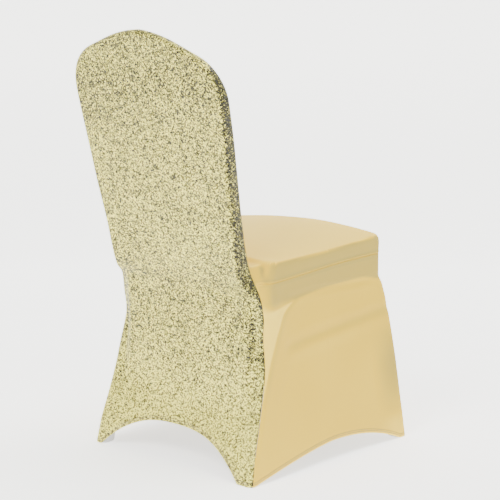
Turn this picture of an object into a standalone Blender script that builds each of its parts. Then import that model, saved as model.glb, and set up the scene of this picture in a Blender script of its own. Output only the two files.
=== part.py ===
# Stretch chair cover: glitter back panel, plain seat and front panel, plain skirt, four foot pockets.
# Metres, +Z up. The origin is on the floor under the middle of the cover; the back faces +Y.
# Every panel lies on one smooth form, the outside of the stretched cloth. The form is the blend of
# a leaning back, drawn over its outline, and a splayed lower part, drawn over its plan at each height.

import bpy
import bmesh
import numpy as np
from mathutils import Vector

# Cloth
CLOTH = 0.0016            # thickness of the stretched cloth
HEM_CLOTH = 0.0026        # thickness where the hem is turned up
HEM_DEPTH = 0.009
LEVEL_BELOW = 0.04        # below this height the cloth's edge turns level
SEAM_GAP = 0.0003         # gap between two panels along their seam

# Seat
SEAT_TOP = 0.4504         # height of the seat's edge
SEAT_CROWN = 0.016        # rise of the seat's middle above its edge
SEAT_TILT = 0.010         # the seat is higher on the left by this much for each metre across
SEAT_FORWARD = 0.16       # rise of its left edge towards the front, from this y on
SEAT_FORWARD_Y = 0.07
SEAT_HALF = 0.215
SEAT_MIDDLE_Y = -0.04
SEAT_REACH = 0.27         # half the length over which the crown fades
SEAT_EDGE = 0.007         # softness of the seat's edge at the sides and at the front
SEAT_EDGE_FRONT = 0.022
SEAT_EDGE_FROM = (0.175, 0.208)      # distances before the middle over which it turns softer
LEG_ROUND = 0.016         # plan radius of the lower part's corners

# Back
CROWN_TOP = 0.930
CROWN_SLOPE = 0.387
CROWN_SOFT = 0.022
SHOULDER_HALF = 0.2128
SHOULDER_Z = 0.863
SHOULDER_SOFT = 0.065
BACK_EDGE = 0.010         # radius of the back's long edges
BACK_FOOT = 0.24          # where the back's form ends, inside the lower part
BACK_FOOT_SOFT = 0.02
BLEND = 0.035             # how softly the back runs into the lower part

# Back: height, half width, rear y at the sides, rear y in the middle, depth from rear to front face
BACK = (
    (0.250, 0.1700, 0.1250, 0.1300, 0.034),
    (0.300, 0.1900, 0.1460, 0.1540, 0.034),
    (0.340, 0.2010, 0.1590, 0.1680, 0.034),
    (0.360, 0.2015, 0.1630, 0.1730, 0.034),
    (0.380, 0.1985, 0.1740, 0.1800, 0.036),
    (0.400, 0.1935, 0.1960, 0.1880, 0.042),
    (0.420, 0.1880, 0.2090, 0.1970, 0.044),
    (0.440, 0.1865, 0.2160, 0.2060, 0.043),
    (0.500, 0.1890, 0.2280, 0.2260, 0.037),
    (0.600, 0.1975, 0.2500, 0.2500, 0.034),
    (0.700, 0.2045, 0.2705, 0.2705, 0.034),
    (0.800, 0.2105, 0.2910, 0.2910, 0.031),
    (0.863, 0.2128, 0.3012, 0.3012, 0.023),
    (0.930, 0.2130, 0.3146, 0.3146, 0.021),
)

# Lower part: height, half width at the rear, rear y, half width at the front, front y
LEGS = (
    (0.000, 0.2370, 0.2290, 0.2480, -0.2740),
    (0.050, 0.2350, 0.2170, 0.2450, -0.2690),
    (0.100, 0.2300, 0.2020, 0.2410, -0.2630),
    (0.200, 0.2200, 0.1740, 0.2320, -0.2530),
    (0.300, 0.2075, 0.1590, 0.2220, -0.2370),
    (0.350, 0.2035, 0.1570, 0.2170, -0.2240),
    (0.380, 0.2050, 0.1550, 0.2140, -0.2140),
    (0.420, 0.2090, 0.1450, 0.2140, -0.2130),
    (0.460, 0.2110, 0.1330, 0.2150, -0.2130),
)

# Cloth drawn in between two legs: height, at the sides, at the front, at the rear
DRAWN_IN = (
    (0.000, 0.0000, 0.0000, 0.0000),
    (0.100, 0.0080, 0.0100, 0.0090),
    (0.200, 0.0100, 0.0120, 0.0070),
    (0.300, 0.0080, 0.0060, 0.0000),
    (0.369, 0.0055, 0.0010, 0.0000),
    (0.420, 0.0010, -0.0020, -0.0200),
    (0.460, -0.0020, -0.0120, -0.0250),
)

# Cloth bridging from the seat's rear corner to the back: half width at the rear, widening forwards
BRIDGE_HALF = 0.1790
BRIDGE_REAR = 0.178
BRIDGE_FRONT = 0.118
BRIDGE_WIDENS = 0.30
BRIDGE_FROM = 0.178
BRIDGE_TOP = 0.449
BRIDGE_SOFT = 0.014
BRIDGE_BLEND = 0.013

# Ridge where the side leaves the rear leg: height, y, rise
LEG_RIDGE = (
    (0.140, 0.1850, 0.0000),
    (0.198, 0.1650, 0.0015),
    (0.248, 0.1440, 0.0032),
    (0.296, 0.1220, 0.0048),
    (0.333, 0.1080, 0.0045),
    (0.362, 0.0800, 0.0000),
)
RIDGE_REAR = 0.018
RIDGE_FRONT = 0.050

# Soft troughs in the sides: side, rear y, rear z, front y, front z, depth, half width
CREASES = (
    (-1, 0.075, 0.270, -0.215, 0.296, 0.0030, 0.012),
    (-1, 0.060, 0.371, -0.200, 0.367, 0.0020, 0.009),
    (1, 0.050, 0.282, -0.215, 0.288, 0.0026, 0.013),
    (1, 0.070, 0.369, -0.200, 0.367, 0.0020, 0.009),
)
CREASE_END = 0.03
ON_SIDE = (0.12, 0.18)    # distances from the middle over which the sides' folds set in

# Seam between the glitter back and the plain cloth: height, y
SIDE_SEAM = (
    (0.000, 0.2225),
    (0.050, 0.2125),
    (0.100, 0.1970),
    (0.145, 0.1835),
    (0.195, 0.1705),
    (0.245, 0.1610),
    (0.290, 0.1570),
    (0.325, 0.1580),
    (0.352, 0.1605),
    (0.378, 0.1645),
    (0.408, 0.1690),
    (0.430, 0.1750),
    (0.460, 0.1850),
    (0.500, 0.1970),
    (0.540, 0.2080),
)
SEAM_FROM_FRONT = 0.003   # above the seat, the seam's distance behind the front face
SEAM_TURNS = (0.49, 0.54)

# Seam between the seat's side and the skirt
SEAT_SEAM_REAR = 0.4115
SEAT_SEAM_FRONT = 0.4225
SEAT_SEAM_RISE = (0.17, -0.13)   # y where the rise begins and ends

# Hems
REAR_ARCH = 0.0800        # height of the rear hem's arch
REAR_ARCH_HALF = 0.2035
REAR_ARCH_MIDDLE = 0.010
REAR_ARCH_POWER = 2.6
SIDE_ARCH = 0.0425
SIDE_ARCH_Y = -0.035
SIDE_ARCH_REAR = 0.2575
SIDE_ARCH_FRONT = 0.212
SIDE_POWER_REAR = 1.385
SIDE_POWER_FRONT = 2.35
FRONT_ARCH = 0.0780
FRONT_ARCH_HALF = 0.216
FRONT_ARCH_POWER = 2.6
REAR_HEM_FROM = 0.12      # the rear hem lies behind this y
SIDE_HEM_FROM = 0.222     # the side hems lie farther out than this

# Mesh lines
SEAM_HEIGHTS = (0.0, 0.009, 0.030, 0.060, 0.100, 0.145, 0.195, 0.245, 0.290, 0.325, 0.352, 0.378, 0.4115)
UPPER_HEIGHTS = (0.430, 0.454, 0.478, 0.504, 0.540, 0.590, 0.660, 0.730, 0.785, 0.826)
SIDE_SHARES = (0.012, 0.027, 0.048, 0.080, 0.115, 0.155, 0.200, 0.260, 0.340, 0.440, 0.550, 0.660,
               0.770, 0.870, 0.950, 1.000)
CROWN_STEPS = 20
FRONT_STEPS = 20
BACK_INSET = 0.013
BACK_TURN = 0.70          # above this height the border turns towards the crown's centre
FOOT_EVEN = 0.55          # share of even spacing among the columns at the rear hem
BACK_RINGS = (0.0, 0.26, 0.48, 0.68, 0.86, 1.0)
SEAT_RINGS = (0.0, 0.28, 0.5, 0.72, 1.0)
RING_FAR = 0.05
SEAT_INSET = 0.020
SEAT_FRONT_HALF = 0.210   # half width of the seat's front edge between its rounded corners
FOLD_ROWS = 6
FOLD_CORNER_X = -0.183    # guide for the fold rows: x, y from their start, height above the edge
FOLD_CORNER_Y = -0.018
FOLD_CORNER_UP = 0.004
OVER_SEAT = (0.115, 0.150)           # y over which the rings stop running over the seat's edge
OVER_BACK = (0.475, 0.520)           # heights over which they begin to run over the back's edge
UPRIGHT = (0.50, 0.54)               # heights over which ring points become level-bound
UPRIGHT_END = (0.74, 0.82)           # and over which they are free again
CROWN_CENTRE = np.array([0.0, 0.0, 0.66])
CROWN_FAR = 0.34
BEHIND = 0.42
OUTSIDE = 0.32
CORNER_START = 0.06
CORNER_TURNS = (22.5, 45.0, 67.5)
REACH_STEPS = 90
REACH_SHARE = 0.5
REACH_LIMITS = (-0.02, 0.05)
SETTLE_STEPS = 14
SETTLE_LIMITS = (-0.02, 0.02)
SETTLE_LEAST = 0.05       # least squared slope that a step is divided by

# Foot pockets: height, room for the leg, gap to the panels
POCKET_TALL = 0.050
POCKET_HALF = 0.0152
POCKET_SQUARE = 0.5       # 1 is a round section, 0 a square one
POCKET_GAP = 0.0009
POCKET_STEPS = 16
POCKET_HEIGHTS = (1.0, 0.74, 0.48, 0.24, 0.07, 0.0, 0.0, 0.0)
POCKET_SIZES = (1.0, 1.0, 1.0, 1.0, 1.0, 0.90, 0.60, 0.25)
POCKET_TURN = ((4, 1.0, 0.4), (5, 0.8, 1.0))         # rows where it turns under: row, outward, down
POCKET_ROUNDS = 6
FEET = (
    ("foot_pocket_rear_left", -1, True),
    ("foot_pocket_rear_right", 1, True),
    ("foot_pocket_front_left", -1, False),
    ("foot_pocket_front_right", 1, False),
)

# From the form's y to the frame's y, so that the cover's box is centred
TO_FRAME = Vector((0.0, -0.01925, 0.0))

# Colours, from the photo
GLITTER = (0.55, 0.50, 0.30, 1.0)
CHAMPAGNE = (0.72, 0.58, 0.36, 1.0)
POCKET_GREY = (0.62, 0.62, 0.60, 1.0)


# Smooth curve through one column of a table, without overshoot
def column(table, at, index):
    rows = np.asarray(table, float)
    xs, ys = rows[:, 0], rows[:, index]
    steps = np.diff(xs)
    slopes = np.diff(ys) / steps
    tangents = np.zeros_like(ys)
    tangents[0] = slopes[0]
    tangents[-1] = slopes[-1]
    for i in range(1, len(xs) - 1):
        if slopes[i - 1] * slopes[i] > 0:
            near = 2 * steps[i] + steps[i - 1]
            far = steps[i] + 2 * steps[i - 1]
            tangents[i] = (near + far) / (near / slopes[i - 1] + far / slopes[i])
    at = np.clip(at, xs[0], xs[-1])
    i = np.clip(np.searchsorted(xs, at, side="right") - 1, 0, len(xs) - 2)
    h = steps[i]
    t = (at - xs[i]) / h
    start = (2 * t**3 - 3 * t**2 + 1) * ys[i] + (t**3 - 2 * t**2 + t) * h * tangents[i]
    end = (3 * t**2 - 2 * t**3) * ys[i + 1] + (t**3 - t**2) * h * tangents[i + 1]
    return start + end


def soft_max(a, b, soft):
    near = np.maximum(soft - np.abs(a - b), 0) / soft
    return np.maximum(a, b) + near * near * soft / 4


def soft_min(a, b, soft):
    return -soft_max(-a, -b, soft)


def rise(value, low, high):
    t = np.clip((value - low) / (high - low), 0, 1)
    return t * t * (3 - 2 * t)


# Distance in plan to a symmetrical trapezium, negative inside
def trapezium(x, y, front_half, rear_half, half_depth):
    x = np.abs(x)
    to_end_x = x - np.minimum(x, np.where(y < 0, front_half, rear_half))
    to_end_y = np.abs(y) - half_depth
    lean_x = rear_half - front_half
    lean_y = 2 * half_depth
    t = ((rear_half - x) * lean_x + (half_depth - y) * lean_y) / (lean_x**2 + lean_y**2)
    t = np.clip(t, 0, 1)
    to_side_x = x - rear_half + lean_x * t
    to_side_y = y - half_depth + lean_y * t
    inside = (to_side_x < 0) & (to_end_y < 0)
    nearest = np.minimum(to_end_x**2 + to_end_y**2, to_side_x**2 + to_side_y**2)
    return np.where(inside, -1.0, 1.0) * np.sqrt(nearest)


def seat_height(x, y):
    across = np.clip(1 - (x / SEAT_HALF) ** 2, 0, 1)
    along = np.clip(1 - ((y - SEAT_MIDDLE_Y) / SEAT_REACH) ** 4, 0, 1)
    forward = SEAT_FORWARD * np.maximum(SEAT_FORWARD_Y - y, 0) ** 2 * (0.5 - x / (2 * SEAT_HALF))
    return SEAT_TOP + SEAT_CROWN * across * along - SEAT_TILT * x + forward


# How far the folds stand in from the smooth side, negative where they stand out
def fold_depth(x, y, z):
    away = y - column(LEG_RIDGE, z, 1)
    width = np.where(away > 0, RIDGE_REAR, RIDGE_FRONT)
    ridge = column(LEG_RIDGE, z, 2) * np.exp(-((away / width) ** 2))
    on_side = rise(np.abs(x), *ON_SIDE)
    depth = -ridge * on_side
    for side, rear_y, rear_z, front_y, front_z, deep, half_width in CREASES:
        t = (rear_y - y) / (rear_y - front_y)
        off = z - (rear_z + (front_z - rear_z) * t)
        ends = rise(y, front_y - CREASE_END, front_y) * rise(-y, -rear_y - CREASE_END, -rear_y)
        depth = depth + deep * ends * np.exp(-((off / half_width) ** 2)) * rise(side * x, *ON_SIDE)
    return depth


def lower_form(x, y, z):
    rear_half = column(LEGS, z, 1)
    rear_y = column(LEGS, z, 2)
    front_half = column(LEGS, z, 3)
    front_y = column(LEGS, z, 4)
    middle = (rear_y + front_y) / 2
    half_depth = (rear_y - front_y) / 2
    plan = trapezium(x, y - middle, front_half - LEG_ROUND, rear_half - LEG_ROUND, half_depth - LEG_ROUND)
    along = np.clip((y - front_y) / (rear_y - front_y), 0, 1)
    half = front_half + (rear_half - front_half) * along
    across = np.clip(1 - (x / half) ** 2, 0, 1)
    drawn = column(DRAWN_IN, z, 1) * 4 * along * (1 - along)
    drawn = drawn + across * np.where(along < 0.5, column(DRAWN_IN, z, 2), column(DRAWN_IN, z, 3))
    plan = plan - LEG_ROUND + drawn + fold_depth(x, y, z)
    edge = SEAT_EDGE + (SEAT_EDGE_FRONT - SEAT_EDGE) * rise(-y, *SEAT_EDGE_FROM)
    return soft_max(plan, z - seat_height(x, y), edge)


def back_form(x, y, z):
    half = column(BACK, z, 1)
    aside = np.abs(x)
    middle = np.clip(1 - (aside / half) ** 2, 0, 1)
    rear = column(BACK, z, 2) * (1 - middle) + column(BACK, z, 3) * middle
    depth = column(BACK, z, 4)
    slope = SHOULDER_Z + CROWN_SLOPE * (SHOULDER_HALF - aside)
    crown = soft_min(np.full_like(aside, CROWN_TOP), slope, CROWN_SOFT)
    outline = soft_max(aside - half, (z - crown) / np.hypot(1, CROWN_SLOPE), SHOULDER_SOFT)
    outline = soft_max(outline, BACK_FOOT - z, BACK_FOOT_SOFT) + BACK_EDGE
    through = np.abs(y - (rear - depth / 2)) - depth / 2 + BACK_EDGE
    corner = np.hypot(np.maximum(outline, 0), np.maximum(through, 0))
    return corner + np.minimum(np.maximum(outline, through), 0) - BACK_EDGE


def bridge_form(x, y, z):
    half = BRIDGE_HALF + (BRIDGE_FROM - y) * BRIDGE_WIDENS
    side = (np.abs(x) - half) / np.hypot(1, BRIDGE_WIDENS)
    length = np.maximum(y - BRIDGE_REAR, BRIDGE_FRONT - y)
    return soft_max(soft_max(side, length, BRIDGE_SOFT), z - BRIDGE_TOP, BRIDGE_SOFT)


# Zero on the outside of the cloth, negative inside
def form(points):
    x, y, z = points[..., 0], points[..., 1], points[..., 2]
    whole = soft_min(lower_form(x, y, z), back_form(x, y, z), BLEND)
    return soft_min(whole, bridge_form(x, y, z), BRIDGE_BLEND)


def slope_of_form(points):
    step = 0.0002
    parts = []
    for axis in range(3):
        shift = np.zeros(3)
        shift[axis] = step
        parts.append((form(points + shift) - form(points - shift)) / (2 * step))
    return np.stack(parts, axis=-1)


def outward(points):
    slope = slope_of_form(points)
    return slope / np.linalg.norm(slope, axis=-1, keepdims=True)


# The way through the cloth, level at the foot of the cover so that no hem dips below the floor
def through_cloth(points):
    way = outward(points)
    way[..., 2] *= rise(points[..., 2], HEM_DEPTH, LEVEL_BELOW)
    return way / np.linalg.norm(way, axis=-1, keepdims=True)


# Moves points onto the form, along the axes that free leaves open
def settle(points, free=(1, 1, 1)):
    points = np.array(points, float)
    free = np.asarray(free, float)
    for _ in range(SETTLE_STEPS):
        slope = slope_of_form(points) * free
        size = np.maximum((slope**2).sum(axis=-1, keepdims=True), SETTLE_LEAST)
        points = points - np.clip(form(points)[..., None] * slope / size, *SETTLE_LIMITS)
    return points


# Moves points along one way, from outside the form, until they meet it
def reach(points, way):
    points = np.array(points, float)
    way = np.asarray(way, float)
    for _ in range(REACH_STEPS):
        points = points + way * np.clip(form(points), *REACH_LIMITS)[..., None] * REACH_SHARE
    return points


def side_seam_y(z):
    low = column(SIDE_SEAM, z, 1)
    high = column(BACK, z, 2) - column(BACK, z, 4) + SEAM_FROM_FRONT
    return low + (high - low) * rise(z, *SEAM_TURNS)


# Seam points on the left side at the given heights
def side_seam(heights):
    z = np.asarray(heights, float)
    outside = np.stack([np.full_like(z, -OUTSIDE), side_seam_y(z), z], axis=-1)
    return reach(outside, (1, 0, 0))


# Seam points over the crown, from the left shoulder to the right one
def crown_seam(steps):
    shoulder = side_seam(UPPER_HEIGHTS[-1:])[0]
    widest = np.arctan2(-shoulder[0], shoulder[2] - CROWN_CENTRE[2])
    turn = np.linspace(-widest, widest, steps + 1)
    way = np.stack([np.sin(turn), np.zeros_like(turn), np.cos(turn)], axis=-1)
    far = np.full_like(turn, CROWN_FAR)
    for _ in range(REACH_STEPS):
        points = CROWN_CENTRE + way * far[:, None]
        points[:, 1] = side_seam_y(points[:, 2])
        far = far - np.clip(form(points), *REACH_LIMITS) * REACH_SHARE
    return points


def seat_seam_z(y):
    begin, end = SEAT_SEAM_RISE
    return SEAT_SEAM_REAR + (SEAT_SEAM_FRONT - SEAT_SEAM_REAR) * rise(-y, -begin, -end)


SIDES = len(SIDE_SHARES) + 1
LOWER_COLUMNS = 2 * SIDES + FRONT_STEPS + 1


# Points of the lower part at the given heights, column by column: from the left rear seam along the
# side, round the front corner, across the front, and back along the right side
def lower_points(heights):
    z = np.asarray(heights, float)
    corner_x = column(LEGS, z, 3) - LEG_ROUND
    corner_y = column(LEGS, z, 4) + LEG_ROUND
    starts = np.zeros(z.shape + (3,))
    ways = np.zeros(z.shape + (3,))
    starts[..., 2] = z
    for k, share in enumerate(SIDE_SHARES):
        for at, side in ((k, -1), (-1 - k, 1)):
            seam_y = side_seam_y(z[..., at])
            starts[..., at, 0] = side * OUTSIDE
            starts[..., at, 1] = seam_y + (corner_y[..., at] - seam_y) * share
            ways[..., at, 0] = -side
    for k, turn in enumerate(np.radians(CORNER_TURNS)):
        for at, side in ((SIDES - 1 + k, -1), (-SIDES - k, 1)):
            starts[..., at, 0] = side * (corner_x[..., at] + CORNER_START * np.cos(turn))
            starts[..., at, 1] = corner_y[..., at] - CORNER_START * np.sin(turn)
            ways[..., at, 0] = -side * np.cos(turn)
            ways[..., at, 1] = np.sin(turn)
    front = slice(SIDES + 2, SIDES + FRONT_STEPS - 1)
    starts[..., front, 0] = corner_x[..., front] * np.linspace(-1, 1, FRONT_STEPS - 3)
    starts[..., front, 1] = -OUTSIDE
    ways[..., front, 1] = 1
    return reach(starts, ways)


# Seam points between the seat's side and the skirt
def seat_seam():
    z = np.full(LOWER_COLUMNS, SEAT_SEAM_FRONT)
    for _ in range(4):
        points = lower_points(z)
        z = seat_seam_z(points[:, 1])
    return lower_points(z)


# Height of the hem under a point of the plan
def hem_height(x, y):
    rear = REAR_ARCH * (1 - np.clip(np.abs(x - REAR_ARCH_MIDDLE) / REAR_ARCH_HALF, 0, 1) ** REAR_ARCH_POWER)
    front = FRONT_ARCH * (1 - np.clip(np.abs(x) / FRONT_ARCH_HALF, 0, 1) ** FRONT_ARCH_POWER)
    behind = np.clip((y - SIDE_ARCH_Y) / SIDE_ARCH_REAR, 0, 1) ** SIDE_POWER_REAR
    before = np.clip((SIDE_ARCH_Y - y) / SIDE_ARCH_FRONT, 0, 1) ** SIDE_POWER_FRONT
    side = SIDE_ARCH * (1 - behind - before)
    on_rear = y > REAR_HEM_FROM
    on_side = np.abs(x) > SIDE_HEM_FROM
    return np.where(on_side, side, np.where(on_rear, rear, front))


# Fills a grid from its four border curves
def fill(bottom, top, left, right, a, b):
    a = a[None, :, None]
    b = b[:, None, None]
    across = (1 - b) * bottom[None] + b * top[None]
    along = (1 - a) * left[:, None] + a * right[:, None]
    corners = (1 - b) * ((1 - a) * bottom[0] + a * bottom[-1]) + b * ((1 - a) * top[0] + a * top[-1])
    return across + along - corners


# Rows of points from a panel's grid border, round an edge, to its seam
def rings(border, corner, seam, steps):
    rows = [(1 - t) ** 2 * border + 2 * t * (1 - t) * corner + t**2 * seam for t in steps[1:-1]]
    return np.array([border] + rows + [seam])


# Moves inner rows onto the form, each met from outside on the way to a point inside the edge
def reach_rings(rows, inner):
    rows = rows.copy()
    for k in range(1, len(rows) - 1):
        way = rows[k] - inner
        way = way / np.linalg.norm(way, axis=-1, keepdims=True)
        rows[k] = reach(inner + way * RING_FAR, -way)
    return rows


# Draws a seam back by half its gap, square to the seam and towards the row before it
def draw_back(seam, before):
    way = before - seam
    along = np.gradient(seam, axis=0)
    along = along / np.linalg.norm(along, axis=-1, keepdims=True)
    way = way - along * (way * along).sum(axis=-1, keepdims=True)
    return seam + way / np.linalg.norm(way, axis=-1, keepdims=True) * SEAM_GAP / 2


# A panel under construction: points, the way out of the cloth there, and its thickness
class Panel:
    def __init__(self, name):
        self.name = name
        self.points = []
        self.outs = []
        self.thick = []
        self.faces = []

    def add(self, points, outs, thick):
        first = len(self.points)
        flat = points.reshape(-1, 3)
        self.points.extend(flat)
        self.outs.extend(outs.reshape(-1, 3))
        self.thick.extend(np.broadcast_to(thick, points.shape[:-1]).reshape(-1))
        return first + np.arange(len(flat)).reshape(points.shape[:-1])

    def skin(self, index):
        rows, columns = index.shape
        for i in range(rows - 1):
            for j in range(columns - 1):
                face = (index[i, j], index[i, j + 1], index[i + 1, j + 1], index[i + 1, j])
                self.faces.append(tuple(int(k) for k in face))

    # The outer skin is extruded inwards by the cloth's thickness
    def build(self, material):
        mesh = bpy.data.meshes.new(self.name)
        bm = bmesh.new()
        across = bm.verts.layers.float_vector.new("across")
        verts = []
        for point, out, thick in zip(self.points, self.outs, self.thick):
            vert = bm.verts.new(Vector(point) + TO_FRAME)
            vert[across] = Vector(out) * -float(thick)
            verts.append(vert)
        for face in self.faces:
            bm.faces.new([verts[k] for k in face])
        bmesh.ops.triangulate(bm, faces=bm.faces[:])
        inner = bmesh.ops.extrude_face_region(bm, geom=bm.faces[:])
        for item in inner["geom"]:
            if isinstance(item, bmesh.types.BMVert):
                item.co += item[across]
        bm.verts.layers.float_vector.remove(across)
        bmesh.ops.recalc_face_normals(bm, faces=bm.faces[:])
        bm.to_mesh(mesh)
        bm.free()
        mesh.shade_smooth()
        mesh.materials.append(material)
        thing = bpy.data.objects.new(self.name, mesh)
        bpy.context.scene.collection.objects.link(thing)
        return thing


def material(name, colour, roughness):
    made = bpy.data.materials.new(name)
    made.use_nodes = True
    shader = made.node_tree.nodes["Principled BSDF"]
    shader.inputs["Base Color"].default_value = colour
    shader.inputs["Roughness"].default_value = roughness
    shader.inputs["Metallic"].default_value = 0.0
    return made


# Thickness by height above the hem
def cloth_at(rows, heights):
    thick = np.full(rows, CLOTH)
    thick[np.asarray(heights) <= HEM_DEPTH + 0.0001] = HEM_CLOTH
    return thick


def back_panel(cloth):
    heights = np.array(SEAM_HEIGHTS + UPPER_HEIGHTS)
    left_seam = side_seam(heights)
    top_seam = crown_seam(CROWN_STEPS)
    left_seam[-1] = top_seam[0]

    # Border of the rear face, drawn in from the seam
    left = left_seam + np.array([BACK_INSET, 0.0, 0.0])
    ways = CROWN_CENTRE - top_seam
    ways[:, 1] = 0
    ways = ways / np.linalg.norm(ways, axis=1, keepdims=True)
    top = top_seam + ways * BACK_INSET
    side_share = rise(heights, BACK_TURN, heights[-1])[:, None]
    left = left * (1 - side_share) + (left_seam + ways[0] * BACK_INSET) * side_share
    left[:, 1] = BEHIND
    top[:, 1] = BEHIND
    left = reach(left, (0, -1, 0))
    top = reach(top, (0, -1, 0))
    left[-1] = top[0]
    right = left * np.array([-1.0, 1.0, 1.0])

    spread = np.linspace(-1, 1, CROWN_STEPS + 1)
    foot = left[0, 0]
    x = -foot * (FOOT_EVEN * spread + (1 - FOOT_EVEN) * np.sin(spread * np.pi / 2))
    behind = np.full_like(x, BEHIND)
    bottom = np.stack([x, behind, hem_height(x, behind)], axis=-1)
    bottom[0] = left[0]
    bottom[-1] = right[0]
    share = heights / heights[-1]
    a = (spread + 1) / 2
    grid = fill(bottom, top, left, right, a, share)
    grid[..., 1] = BEHIND
    grid = reach(grid, (0, -1, 0))
    grid[:, 0] = left
    grid[:, -1] = right
    grid[-1] = top

    panel = Panel("back_panel")
    thick = cloth_at(len(heights), heights)
    index = panel.add(grid, through_cloth(grid), thick[:, None])
    panel.skin(index[:, ::-1])

    # Left side up, over the crown, right side down
    border = np.concatenate([grid[:, 0], grid[-1, 1:-1], grid[::-1, -1]])
    border_index = np.concatenate([index[:, 0], index[-1, 1:-1], index[::-1, -1]])
    seam = np.concatenate([left_seam, top_seam[1:-1], left_seam[::-1] * np.array([-1.0, 1.0, 1.0])])
    corner = seam.copy()
    corner[:, 1] = border[:, 1]
    rows = reach_rings(rings(border, corner, seam, BACK_RINGS), border + seam - corner)
    ring_thick = np.concatenate([thick, np.full(CROWN_STEPS - 1, CLOTH), thick[::-1]])
    strips = [border_index]
    for row in rows[1:-1]:
        strips.append(panel.add(row, through_cloth(row), ring_thick))
    strips.append(panel.add(draw_back(seam, rows[-2]), through_cloth(seam), ring_thick))
    panel.skin(np.array(strips))
    return panel.build(cloth)


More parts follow.
